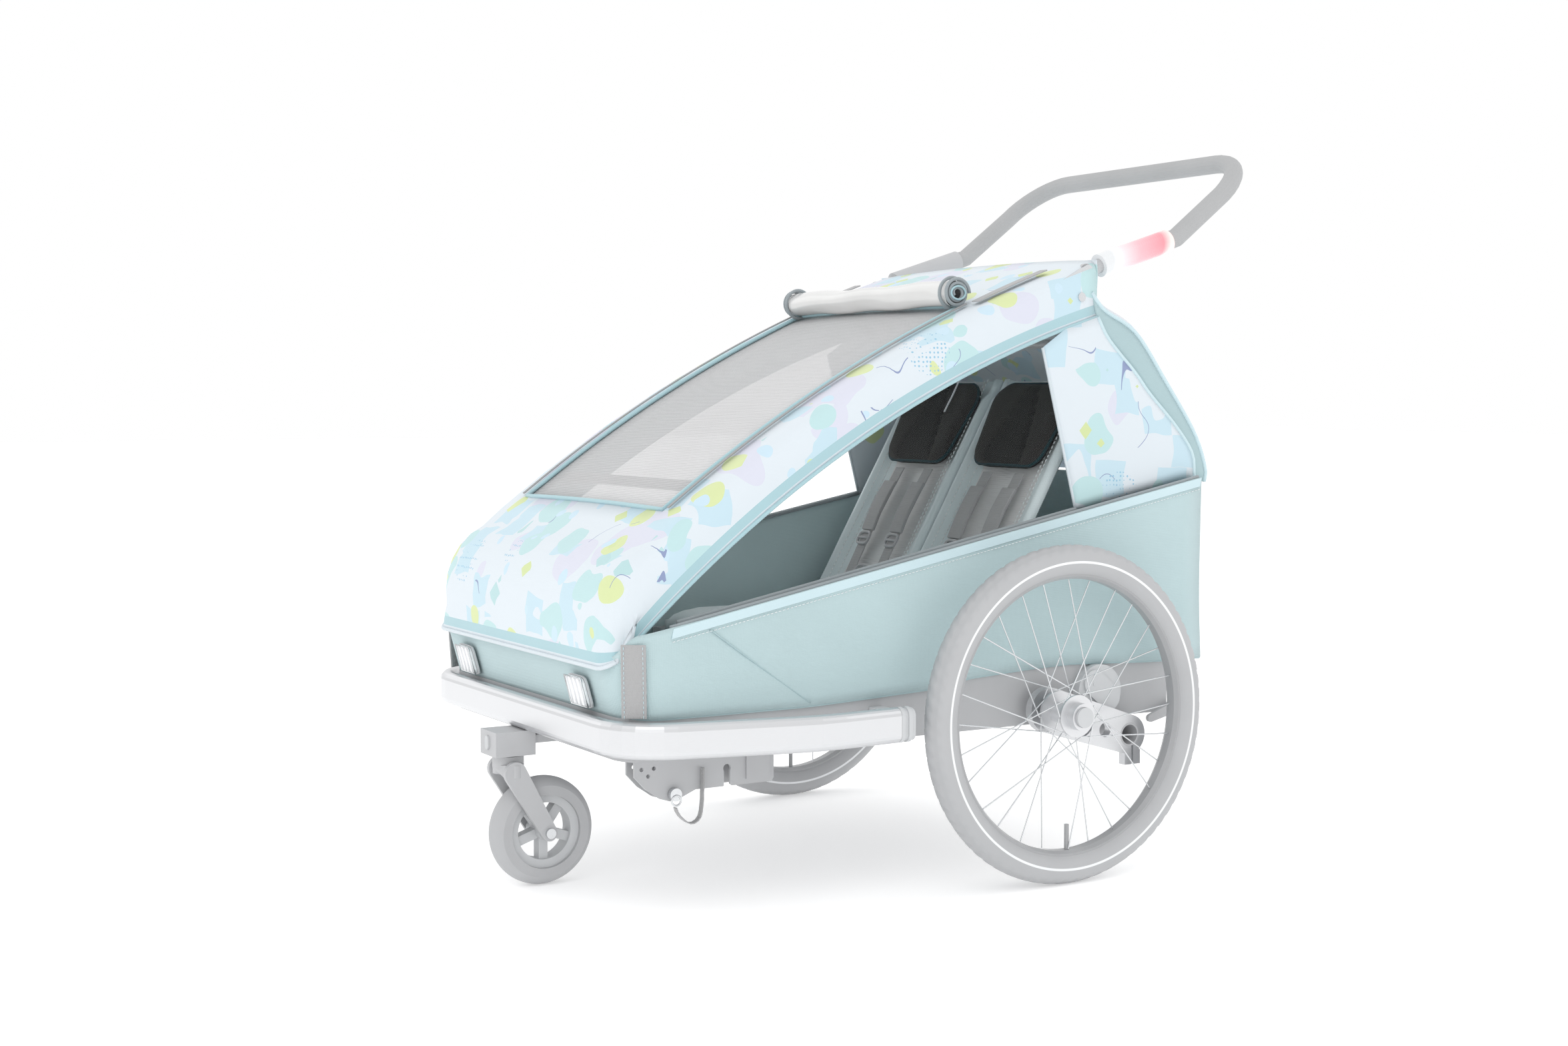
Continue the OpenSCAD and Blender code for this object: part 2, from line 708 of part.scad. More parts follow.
under = hoop_d / 2 + cloth + gap;
hoop_arc = beside(arc(slope_start, roof_end, roof_bow, 6), -under);
module front_hoop() {
    side = concat([[hoop_x, front_pivot[0], front_pivot[1]]],
                  [for (i = [1 : 5]) [hoop_x, hoop_arc[i][0], hoop_arc[i][1]]],
                  [[hoop_x, knuckle[0], knuckle[1]]]);
    color("dimgray") both() difference() {
        union() {
            solid_sweep(side, [1, 0, 0], ring(hoop_d / 2, 12));
            for (p = [front_pivot, knuckle]) x_rod(p, hoop_x - hoop_d / 2, hoop_x + hoop_d / 2, boss_d);
        }
        for (p = [front_pivot, knuckle]) x_rod(p, 0, 400, bolt_d + bolt_play);
    }
    // Cross tubes under the roof and below the screen
    color("dimgray") for (i = [1, 5])
        x_rod(hoop_arc[i], -hoop_x, hoop_x, hoop_d - 4);
}

// Lugs that carry the push bar, on the outside of the upper frame
bar_start = [hinge_y, hinge_z];
pin_d = 9;
lug_x = hoop_x + hoop_d / 2 + gap;
module hinge_lugs() {
    color("silver") both() union() {
        across(lug_x, canopy_x - cloth - gap) hull() for (p = [knuckle, bar_start])
            translate(p) circle(d = 20, $fn = 32);
        x_rod(bar_start, arm_x - 15, lug_x + 1, pin_d);
        x_rod(bar_start, arm_x - 18, arm_x - 14, 16);
    }
}

// A leg tube from p to q in the plane x, with a boss and a bolt hole at each end in holes
module leg(x, p, q, holes) {
    difference() {
        union() {
            rod([x, p[0], p[1]], [x, q[0], q[1]], leg_d);
            for (e = [p, q]) x_rod(e, x - leg_d / 2 + 0.6, x + leg_d / 2 - 0.6, boss_d);
        }
        for (e = holes) x_rod(e, 0, 400, bolt_d + bolt_play);
    }
}

seat_bar = knuckle + 0.3 * (knee - knuckle);
module upper_legs() {
    color("dimgray") both() leg(upper_x, knuckle, knee, [knuckle, knee]);
    // Bar that the seat backs hang from
    color("dimgray") x_rod(seat_bar, -upper_x, upper_x, leg_d - 4);
}

module lower_legs() {
    m = foot + 0.5 * (knee - foot);
    color("dimgray") both() leg(lower_x, knee, foot, [foot]);
    color("dimgray") x_rod(m, -lower_x, lower_x, leg_d - 4);
}

// Bolts that turn with the upper legs: at the knuckles, and the knee locks
module leg_bolts() {
    color("silver") both() union() {
        x_rod(knuckle, upper_x - leg_d / 2 - 3, hoop_x + hoop_d / 2, bolt_d);
        x_rod(knuckle, upper_x - leg_d / 2 - 6, upper_x - leg_d / 2 - gap, 14);
    }
    color("silver") both() union() {
        x_rod(knee, upper_x - leg_d / 2 - 3, upper_x + leg_d / 2, bolt_d);
        x_rod(knee, upper_x - leg_d / 2 - 8, upper_x - leg_d / 2 - gap, 20);
    }
}

// Push bar ------------------------------------------------------------------

function bar_point(x, p) = [x, p[0], p[1]];
foam_from = 178;
arm_dir = [cos(arm_slope), sin(arm_slope)];

bar_normal = [0, -sin(loop_slope), cos(loop_slope)];

// The bar's centre line from d along one arm, round the loop and back.
// The arms lie a little out of the loop's plane, so they are separate straight pieces.
loop_line = rounded([bar_point(arm_x, bend), bar_point(arm_x, cross), bar_point(-arm_x, cross),
                     bar_point(-arm_x, bend)], [loop_r, loop_r]);
arm_normal = [0, -sin(arm_slope), cos(arm_slope)];

// One swept tube: down one arm, round the loop and up the other, with side and normal at each ring
function bar_rings(d, profile) =
    let (a = [bar_point(arm_x, bar_start + d * arm_dir), bar_point(arm_x, bend - 20 * arm_dir)],
         b = [for (i = [1 : len(loop_line) - 2]) loop_line[i]],
         path = concat(a, b, [for (p = backwards(a)) [-p[0], p[1], p[2]]]),
         n = len(path))
    [for (i = [0 : n - 1])
        let (u = unit(path[min(i + 1, n - 1)] - path[max(i - 1, 0)]),
             normal = i < 2 || i > n - 3 ? arm_normal : bar_normal,
             side = unit(cross_of(u, normal)), up = cross_of(side, u))
        for (p = profile) path[i] + side * p[0] + up * p[1]];

module bar_tube(d, profile) {
    pts = bar_rings(d, profile);
    n = len(profile);
    m = len(pts) / n;
    polyhedron(points = pts, faces = concat(
        [[for (k = [n - 1 : -1 : 0]) k]], [[for (k = [0 : n - 1]) n * (m - 1) + k]],
        [for (i = [0 : m - 2], k = [0 : n - 1]) let (q = (k + 1) % n)
            [n * i + k, n * i + q, n * (i + 1) + q, n * (i + 1) + k]]));
}

module push_bar() {
    color("dimgray") difference() {
        union() {
            bar_tube(12, ring(bar_d / 2, 16));
            both() x_rod(bar_start, arm_x - 10, arm_x + 10, boss_d);
        }
        both() x_rod(bar_start, 200, 400, pin_d + 2 * fit);
    }
}

module bar_foam() {
    color("dimgray") difference() {
        bar_tube(foam_from, ring(foam_d / 2, 16));
        bar_tube(foam_from - 20, ring(bar_d / 2 + 0.3, 16));
    }
}

module sleeve(d, from, to) {
    difference() {
        rod(bar_point(arm_x, bar_start + from * arm_dir), bar_point(arm_x, bar_start + to * arm_dir), d);
        rod(bar_point(arm_x, bar_start + (from - 5) * arm_dir),
            bar_point(arm_x, bar_start + (to + 5) * arm_dir), bar_d + 0.2);
    }
}

module bar_lamp() { color("salmon") sleeve(36, 34, foam_from - 1); }
module bar_sleeve() { color("gray") mirror([1, 0, 0]) sleeve(36, 34, foam_from - 1); }

// Canopy and other fabric -----------------------------------------------------

roof = arc(slope_start, roof_end, roof_bow, 12);
nose = arc(nose_low + [0, 40], slope_start, nose_bow, 4);
top_line = concat([nose_low], nose, [for (i = [1 : 12]) roof[i]]);
low_line = arc(edge_front, edge_rear, edge_bow, 12);

module screen_cut(inset) {
    a = roof[1];
    b = roof[9];
    across(-screen_x + inset, screen_x - inset)
        polygon([a + [inset, -60], b + [-inset, -60], b + [-inset, 60], a + [inset, 60]]);
}

module canopy() {
    color("azure") difference() {
        across(-canopy_x, canopy_x) polygon(concat(top_line, [edge_rear], backwards(low_line)));
        across(-canopy_x + cloth, canopy_x - cloth)
            polygon(concat([nose_low + [cloth, -60]], beside(top_line, -cloth),
                           [roof_end + [60, -cloth], [700, 300]]));
        screen_cut(0);
        // Room for the push bar at the rear corners
        both() translate([arm_x - foam_d / 2 - 2, bar_start[0] - boss_d / 2 - 2, bar_start[1] - boss_d / 2 - 3])
            cube([60, 80, 80]);
    }
}

module front_screen() {
    color("gray") intersection() {
        across(-screen_x + gap, screen_x - gap) strip(beside(roof, -1), 1.5);
        screen_cut(gap);
    }
}

// The side between the canopy's edge and the belt
split_low = [86, 545];
split_high = [22, 790];
tuck = 5;
module side_window_shape() {
    polygon(concat([for (i = [1 : 10]) low_line[i] + [0, tuck]],
                   [split_high, [split_low[0], belt_z(split_low[0]) + gap],
                    [front_y + 92, belt_z(front_y + 92) + gap]]));
}
module side_windows() {
    color("gainsboro") both() across(window_x, window_x + 1.5) side_window_shape();
}

module rear_quarters() {
    color("azure") both() across(window_x, window_x + cloth)
        polygon([split_high + [gap, 8], low_line[11] + [0, tuck], edge_rear + [0, tuck], [150, 804],
                 [203, 753], [231, 722], [286, 670], [320, 627], [324, belt_z(324) + gap],
                 [split_low[0] + gap, belt_z(split_low[0]) + gap]]);
}

back_line = [[136, 886], [160, 860], [222, 827], [282, 754], [345, 669], [368, 614], [366, 592]];
back_inner = [[136, 826], [150, 800], [200, 750], [228, 717], [280, 667], [312, 625], [318, 592]];
module back_panel() {
    x = canopy_x;
    color("azure") across(-x, x) strip(back_line, cloth);
    color("azure") both() across(x - cloth, x) polygon(concat(back_line, backwards(back_inner)));
}

roll_at = beside(roof, 25 + gap)[9];
module rain_cover() {
    color("lightgray") x_rod(roll_at, -232, 232, 44);
}

module cover_caps() {
    color("dimgray") both() x_rod(roll_at, 232 + gap, 250, 50);
    // Binding strap down to the canopy's edge
    color("dimgray") both() across(252, 276)
        strip(beside([for (i = [9 : 11]) roof[i]], 2.5), 2);
}

module canopy_snaps() {
    color("silver") both() x_rod([98, 868], canopy_x + gap / 3, canopy_x + 3, 14);
}

// Seats ----------------------------------------------------------------------

module seat_cushions() {
    color("slategray") for (x = [3, -3 - seat_w]) translate([x, seat_front, seat_top - cushion_t])
        cube([seat_w, back_foot[0] - seat_front, cushion_t]);
}

// Draws children in the plane of the seat backs: x across, y up the slope, z forward
module on_back() {
    translate([0, back_foot[0], back_foot[1]]) rotate([back_slope, 0, 0]) children();
}

bolster = 20;
module seat_backs() {
    color("slategray") on_back() for (x = [2, -2 - seat_w]) translate([x, 0, 0]) union() {
        translate([0, 0, -back_t]) cube([seat_w, back_len, back_t]);
        for (s = [0, seat_w - 16]) translate([s, 0, 0]) cube([16, back_len - 60, bolster]);
    }
}

pad_up = 265;
module headrest(x) {
    on_back() translate([x, pad_up, gap]) linear_extrude(height = pad_t) hull()
        for (s = [-1, 1]) {
            translate([s * (pad_size[1] / 2 - 24), 24]) circle(24, $fn = 32);
            translate([s * (pad_size[0] / 2 - 44), pad_size[2] - 44]) circle(44, $fn = 32);
        }
}

module headrest_left() { color("black") headrest(2 + seat_w / 2); }
module headrest_right() { color("black") headrest(-2 - seat_w / 2); }

module harnesses() {
    color("dimgray") on_back() for (x = [2 + seat_w / 2, -2 - seat_w / 2], s = [-42, 42])
        translate([x + s - 12, 20, gap]) cube([24, pad_up - 30, 3]);
}

// Cord that ties the right headrest to the seat bar
tie_x = -75;
tie_route = [[110, 691], [127, 719], [143, 748], [147, 775], [seat_bar[0], seat_bar[1] - (leg_d - 4) / 2 - 3 * gap]];
module tie_cord() {
    color("gainsboro") solid_sweep([for (p = tie_route) [tie_x, p[0], p[1]]], [1, 0, 0], ring(1.5, 8));
}

place() base_frame();
place() seat_frame();
place() floor_pan();
place() tub_front();
place() tub_left();
place() tub_right();
place() tub_rear();
place() bumper();
place() bumper_sockets();
place() front_reflectors();
place() corner_straps();
place() hitch_bracket();
place() hitch_strap();
place() hitch_pin();
place() caster_bracket();
place() caster_button();
place() caster_fork();
place() caster_axle();
place() caster_rim();
place() caster_tyre();
place() suspension_tube();
place() elastomer_left();
place() elastomer_right();
place() swing_arm_left();
place() swing_arm_right();
place() brake_lever();
place() left_hub();
place() left_spokes();
place() left_rim();
place() left_tyre();
place() left_hub_button();
place() right_hub();
place() right_spokes();
place() right_rim();
place() right_tyre();
place() right_hub_button();
place() front_hoop();
place() hinge_lugs();
place() upper_legs();
place() lower_legs();
place() leg_bolts();
place() push_bar();
place() bar_foam();
place() bar_lamp();
place() bar_sleeve();
place() canopy();
place() front_screen();
place() side_windows();
place() rear_quarters();
place() back_panel();
place() rain_cover();
place() cover_caps();
place() canopy_snaps();
place() base_bolts();
place() tie_cord();
place() seat_cushions();
place() seat_backs();
place() headrest_left();
place() headrest_right();
place() harnesses();
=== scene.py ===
"""The looks of a two-seat child bicycle trailer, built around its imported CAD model.

Lengths are in metres. Places are measured from the main wheels' axle: at(x, y, z) moves them to the row
frame. +X is the trailer's left, -Y is the front and +Z is up.
"""
import json
import math

import bmesh
import bpy
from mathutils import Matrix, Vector


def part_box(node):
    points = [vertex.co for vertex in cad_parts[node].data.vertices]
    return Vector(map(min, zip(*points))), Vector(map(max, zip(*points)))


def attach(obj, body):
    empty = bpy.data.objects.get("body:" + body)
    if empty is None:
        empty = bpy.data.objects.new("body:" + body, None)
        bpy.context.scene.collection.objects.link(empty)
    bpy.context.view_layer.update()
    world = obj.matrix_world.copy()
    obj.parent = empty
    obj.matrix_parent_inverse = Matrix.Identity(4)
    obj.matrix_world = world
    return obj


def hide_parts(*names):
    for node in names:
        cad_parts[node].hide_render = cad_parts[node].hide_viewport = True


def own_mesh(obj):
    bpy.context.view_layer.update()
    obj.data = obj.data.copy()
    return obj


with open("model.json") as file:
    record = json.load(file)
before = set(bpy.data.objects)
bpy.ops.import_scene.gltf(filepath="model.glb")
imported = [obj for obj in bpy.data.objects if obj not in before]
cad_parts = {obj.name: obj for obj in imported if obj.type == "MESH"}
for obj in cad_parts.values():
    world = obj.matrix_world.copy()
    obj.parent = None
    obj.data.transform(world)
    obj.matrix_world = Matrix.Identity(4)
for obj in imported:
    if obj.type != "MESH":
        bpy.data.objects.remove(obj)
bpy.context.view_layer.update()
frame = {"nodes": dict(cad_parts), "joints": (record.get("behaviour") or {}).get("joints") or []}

# Main sizes, read from the frame ---------------------------------------------

JOINT = {j["name"]: j for j in frame["joints"]}
AXLE_Y = JOINT["wheel_left_spin"]["pos_m"][1]
AXLE_Z = JOINT["wheel_left_spin"]["pos_m"][2]
TYRE_LOW, TYRE_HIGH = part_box("left_tyre")
WHEEL_X = (TYRE_LOW[0] + TYRE_HIGH[0]) / 2
WHEEL_R = (TYRE_HIGH[2] - TYRE_LOW[2]) / 2
TYRE_R = (TYRE_HIGH[0] - TYRE_LOW[0]) / 2
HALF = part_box("tub_left")[1][0]
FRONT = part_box("tub_front")[0][1] - AXLE_Y
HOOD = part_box("canopy")[1][0]
SIDES = ((1, "left"), (-1, "right"))
ACROSS = (1, 0, 0)

# Lines of the side view, (y, z)
HEM = [(FRONT, 0.284), (-0.4, 0.284), (-0.302, 0.288), (-0.192, 0.293), (-0.127, 0.304), (-0.004, 0.311),
       (0.06, 0.313), (0.232, 0.306)]
BELT = [(FRONT, 0.39), (0.324, 0.59)]
REAR = [(0.232, 0.306), (0.237, 0.337), (0.25, 0.42), (0.27, 0.471), (0.292, 0.54), (0.324, 0.59)]
NOSE_LOW = (FRONT - 0.014, 0.352)
SLOPE = (FRONT + 0.053, 0.512)
ROOF_END = (0.128, 0.926)
EDGE = [(FRONT + 0.01, 0.366), (0.128, 0.838)]
SPLIT = [(0.086, 0.545), (0.022, 0.79)]
QUARTER_REAR = [BELT[1], (0.32, 0.627), (0.286, 0.67), (0.231, 0.722), (0.203, 0.753), (0.15, 0.804),
                EDGE[1]]
BACK = [(0.136, 0.886), (0.16, 0.86), (0.222, 0.827), (0.282, 0.754), (0.345, 0.669), (0.368, 0.614),
        (0.366, 0.592)]
SCREEN_HALF = 0.238
SEAT_FOOT = (-0.04, 0.3723)
SEAT_SLOPE = math.radians(60)
SEAT_W = 0.248
SEAT_GAP = 0.002


def at(x, y, z):
    return Vector((x, AXLE_Y + y, z))


# Line helpers ----------------------------------------------------------------

def mix(a, b, t):
    return a + (b - a) * t


def steps(a, b, n):
    """n + 1 even steps from a to b."""
    return [mix(a, b, i / n) for i in range(n + 1)]


def arc(p, q, sag, n):
    """Points of an arc from p to q that bulges to the left by sag."""
    p, q = Vector(p), Vector(q)
    chord = (q - p).length
    r = (chord * chord / 4 + sag * sag) / (2 * sag)
    u = (q - p).normalized()
    left = Vector((-u.y, u.x))
    c = (p + q) / 2 - (r - sag) * left
    half = math.asin(chord / 2 / r)
    return [c + r * (left * math.cos(a) + u * math.sin(a)) for a in steps(-half, half, n)]


def length_of(points):
    return sum((b - a).length for a, b in zip(points, points[1:]))


def along(points, t):
    """The point at share t of a polyline's length."""
    points = [Vector(p) for p in points]
    spans = [(b - a).length for a, b in zip(points, points[1:])]
    d = min(max(t, 0), 1) * sum(spans)
    for a, b, s in zip(points, points[1:], spans):
        if d <= s:
            return a.lerp(b, d / s if s else 0)
        d -= s
    return points[-1]


def smooth(points, n):
    """n + 1 points of a Catmull-Rom curve through the given points, evenly spaced."""
    p = [Vector(q) for q in points]
    p = [2 * p[0] - p[1]] + p + [2 * p[-1] - p[-2]]
    fine = []
    for a, b, c, d in zip(p, p[1:], p[2:], p[3:]):
        for k in range(12):
            t = k / 12
            fine.append(0.5 * (2 * b + (c - a) * t + (2 * a - 5 * b + 4 * c - d) * t * t
                               + (3 * b - a - 3 * c + d) * t ** 3))
    fine.append(p[-2])
    return [along(fine, i / n) for i in range(n + 1)]


def height(line, y):
    """z of a side-view line at y."""
    if y <= line[0][0]:
        return line[0][1]
    for (y0, z0), (y1, z1) in zip(line, line[1:]):
        if y <= y1:
            return mix(z0, z1, (y - y0) / (y1 - y0))
    return line[-1][1]


def ring(centre, wide, tall, n, power=2):
    """n points of an ellipse, or of a rounded box for a higher power, as 2-D points."""
    points = []
    for k in range(n):
        c, d = math.cos(2 * math.pi * k / n), math.sin(2 * math.pi * k / n)
        f = 1 if power == 2 else (abs(c) ** power + abs(d) ** power) ** (-1 / power)
        points.append((centre[0] + c * f * wide / 2, centre[1] + d * f * tall / 2))
    return points


# Mesh helpers ----------------------------------------------------------------

def make(name, verts, faces, *looks, pick=None, flat=False):
    """A mesh object. pick(face number) gives the number of the face's look."""
    mesh = bpy.data.meshes.new(name)
    mesh.from_pydata([tuple(v) for v in verts], [], faces)
    obj = bpy.data.objects.new(name, mesh)
    bpy.context.scene.collection.objects.link(obj)
    for look in looks:
        mesh.materials.append(M[look])
    for f in mesh.polygons:
        f.use_smooth = not flat
        if pick:
            f.material_index = pick(f.index)
    mesh.validate()
    return obj


def place(obj, body, fold=None, replaces=()):
    """Puts a finished piece on its body, gives it its own mesh when it has a fold, and hides the CAD nodes
    that it stands for.
    """
    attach(obj, body)
    if fold:
        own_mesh(obj)
    if replaces:
        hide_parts(*replaces)
    return obj


# Where a cloth folds down to, and the share of its height that it keeps
FOLD = (0.3, 0.36)
FLAT = (0.3, 0.14)


def settle(obj, kind, **facts):
    """Applies a modifier."""
    m = obj.modifiers.new(kind, kind)
    for k, v in facts.items():
        setattr(m, k, v)
    shape = bpy.data.meshes.new_from_object(obj.evaluated_get(bpy.context.evaluated_depsgraph_get()))
    obj.modifiers.clear()
    obj.data = shape
    return obj


def thick(obj, t, offset):
    settle(obj, "SOLIDIFY", thickness=t, offset=offset)


def line_inside(obj):
    """Gives a lining to the faces of a thick cloth that look towards the middle of the cabin."""
    middle = at(0, -0.15, 0.5)
    number = len(obj.data.materials)
    obj.data.materials.append(M["lining"])
    for f in obj.data.polygons:
        if f.normal.dot(middle - f.center) > 0:
            f.material_index = number


def sheet_mesh(name, rows, *looks, pick=None, keep=None):
    """A grid of quads over rows of points. pick(i, j) gives a cell's look and keep(i, j) drops cells."""
    n = len(rows[0])
    cells = [(i, j) for i in range(len(rows) - 1) for j in range(n - 1) if keep is None or keep(i, j)]
    faces = [(i * n + j, i * n + j + 1, (i + 1) * n + j + 1, (i + 1) * n + j) for i, j in cells]
    chosen = (lambda k: pick(*cells[k])) if pick else None
    return make(name, [p for r in rows for p in r], faces, *looks, pick=chosen)


def hang(name, rows, looks, body, t, offset, fold=None, replaces=(), lined=False,
         pick=None):
    """A cloth of thickness t. The size it is cut to is measured before it is thick."""
    obj = sheet_mesh(name, rows, *looks, pick=pick)
    wide = max(length_of(r) for r in rows)
    tall = max(length_of(column) for column in zip(*rows))
    thick(obj, t, offset)
    if lined:
        line_inside(obj)
    place(obj, body, fold, replaces)


def skin(rings, sides, closed=False, base=0):
    """The faces between rings of points, each ring with this many sides, and over both ends."""
    faces = []
    for i in range(rings if closed else rings - 1):
        j = (i + 1) % rings
        for k in range(sides):
            q = (k + 1) % sides
            faces.append((i * sides + k, i * sides + q, j * sides + q, j * sides + k))
    if not closed:
        faces += [tuple(reversed(range(sides))), tuple((rings - 1) * sides + k for k in range(sides))]
    return [tuple(base + v for v in f) for f in faces]


def tube(name, points, radius, look, body="base", fold=None, closed=False, replaces=(), sides=8):
    """A round tube along points, with a steady frame from ring to ring."""
    points = [Vector(p) for p in points]
    n = len(points)
    verts = []
    side = None
    for i, p in enumerate(points):
        a = points[i - 1] if i or closed else p
        b = points[(i + 1) % n] if i < n - 1 or closed else p
        u = (b - a).normalized()
        if side is None:
            side = u.orthogonal().normalized()
        side = (side - u * side.dot(u)).normalized()
        up = u.cross(side)
        for k in range(sides):
            t = 2 * math.pi * k / sides
            verts.append(p + radius * (side * math.cos(t) + up * math.sin(t)))
    return place(make(name, verts, skin(n, sides, closed), look), body, fold, replaces)


def ribbon(name, points, across, width, t, look, body="base", fold=None, replaces=()):
    """A flat band along points. across is its width direction."""
    points = [Vector(p) for p in points]
    w = Vector(across).normalized()
    verts = []
    for i, p in enumerate(points):
        u = (points[min(i + 1, len(points) - 1)] - points[max(i - 1, 0)]).normalized()
        out = u.cross(w).normalized()
        for a, b in ((-1, -1), (1, -1), (1, 1), (-1, 1)):
            verts.append(p + w * (a * width / 2) + out * (b * t / 2))
    obj = make(name, verts, skin(len(points), 4), look, flat=True)
    settle(obj, "BEVEL", width=t * 0.3, segments=2, limit_method="ANGLE")
    return place(obj, body, fold, replaces)


def stitches(name, points, out, look, body="base", fold=None, length=0.004, space=0.0025,
             radius=0.0006):
    """A row of short stitches along points, raised towards out."""
    total = length_of(points)
    count = max(2, int(total / (length + space)))
    verts, faces = [], []
    for s in range(count):
        a = along(points, s / count)
        b = along(points, s / count + length / total)
        u = (b - a).normalized()
        side = u.cross(out).normalized()
        up = side.cross(u).normalized() * (1 if side.cross(u).dot(out) > 0 else -1)
        faces += skin(3, 4, base=len(verts))
        for p in (a, (a + b) / 2 + up * radius * 0.6, b):
            verts += [p + side * radius, p + up * radius * 1.4, p - side * radius, p - up * radius]
    place(make(name, verts, faces, look), body, fold)


# Materials -------------------------------------------------------------------

class Nodes:
    """A material being wired up."""

    def __init__(self, name):
        self.mat = bpy.data.materials.new(name)
        self.mat.use_nodes = True
        self.tree = self.mat.node_tree
        self.shader = self.tree.nodes["Principled BSDF"]
        self.place = self.add("TexCoord").outputs["Object"]

    def add(self, kind, inputs=None, **facts):
        node = self.tree.nodes.new("ShaderNode" + kind)
        for k, v in facts.items():
            setattr(node, k, v)
        for k, v in (inputs or {}).items():
            self.feed(node.inputs[k], v)
        return node

    def feed(self, socket, v):
        """Links an output to a socket, or sets a plain value on it."""
        if isinstance(v, bpy.types.NodeSocket):
            self.tree.links.new(v, socket)
        else:
            socket.default_value = v

    def math(self, what, a, b=0.0):
        return self.add("Math", {0: a, 1: b}, operation=what).outputs[0]

    def blend(self, share, a, b):
        return self.add("Mix", {0: share, 6: a, 7: b}, data_type="RGBA").outputs[2]

    def noise(self, scale, detail=3.0, rough=0.5, vector=None):
        return self.add("TexNoise", {"Vector": vector or self.place, "Scale": scale, "Detail": detail,
                                     "Roughness": rough}).outputs["Fac"]

    def set(self, **sockets):
        for k, v in sockets.items():
            self.feed(self.shader.inputs[k.replace("_", " ")], v)

    def bump(self, value, strength, distance=0.001):
        out = self.add("Bump", {"Height": value, "Strength": strength, "Distance": distance}).outputs[0]
        self.tree.links.new(out, self.shader.inputs["Normal"])


def rgba(screen, gain=1.0):
    """Linear colour of an 8-bit screen colour, made lighter or darker by gain."""
    shares = [v / 255 for v in screen]
    return (*(gain * (v / 12.92 if v <= 0.04045 else ((v + 0.055) / 1.055) ** 2.4) for v in shares), 1)


def weave(n, pitch):
    """Height of a plain weave with this thread pitch, on any of the three planes."""
    sep = n.add("SeparateXYZ", {0: n.place})
    step = 2 * math.pi / pitch
    waves = [n.math("SINE", n.math("MULTIPLY", sep.outputs[i], step)) for i in range(3)]
    return n.math("ADD", n.math("ADD", waves[0], waves[1]), waves[2])


def cloth(name, colour, pitch=0.0012, strength=0.25, vary=0.06, rough=0.85, sheen=0.25):
    n = Nodes(name)
    patch = n.noise(9.0)
    fleck = n.noise(420.0, 2.0)
    tone = n.math("ADD", n.math("MULTIPLY", patch, 0.6), n.math("MULTIPLY", fleck, 0.4))
    n.set(Base_Color=n.blend(tone, rgba(colour, 1 - vary), rgba(colour, 1 + vary)), Roughness=rough,
          Sheen_Weight=sheen, Sheen_Roughness=0.5)
    folds = n.noise(14.0, 2.0)
    n.bump(n.math("ADD", n.math("MULTIPLY", weave(n, pitch), 0.25), n.math("MULTIPLY", folds, 3.0)), strength)
    return n.mat


def plastic(name, colour, rough=0.5, grain=900.0, strength=0.12, coat=0.0):
    n = Nodes(name)
    worn = n.noise(14.0, 4.0)
    n.set(Base_Color=n.blend(worn, rgba(colour, 0.94), rgba(colour, 1.06)), Coat_Weight=coat,
          Roughness=n.math("ADD", n.math("MULTIPLY", n.noise(30.0), 0.12), rough - 0.06))
    n.bump(n.noise(grain, 2.0), strength, 0.0004)
    return n.mat


def metal(name, colour, rough=0.3, brushed=(1.0, 1.0, 60.0)):
    n = Nodes(name)
    stretched = n.add("Mapping", {"Vector": n.place, "Scale": brushed}).outputs[0]
    streak = n.noise(120.0, 4.0, 0.6, stretched)
    n.set(Base_Color=n.blend(streak, rgba(colour, 0.93), rgba(colour, 1.05)), Metallic=0.85,
          Roughness=n.math("ADD", n.math("MULTIPLY", streak, 0.15), rough - 0.07))
    n.bump(streak, 0.06, 0.0003)
    return n.mat


def blobs(n, scale, size, lift, seed, metric="EUCLIDEAN"):
    """Scattered blobs or tiles: their mask and a random value for each."""
    moved = n.add("Mapping", {"Vector": n.place, "Location": (seed, seed * 0.7, seed * 1.3)}).outputs[0]
    bent = n.add("TexNoise", {"Vector": moved, "Scale": scale * 1.1, "Detail": 1.0}).outputs["Color"]
    wobble = n.add("VectorMath", {0: bent, 1: (lift, lift, lift)}, operation="MULTIPLY").outputs[0]
    where = n.add("VectorMath", {0: moved, 1: wobble}, operation="ADD").outputs[0]
    cell = n.add("TexVoronoi", {"Vector": where, "Scale": scale, "Randomness": 1.0}, distance=metric)
    mask = n.math("LESS_THAN", cell.outputs["Distance"], size)
    value = n.add("SeparateColor", {0: cell.outputs["Color"]}).outputs[0]
    return mask, value


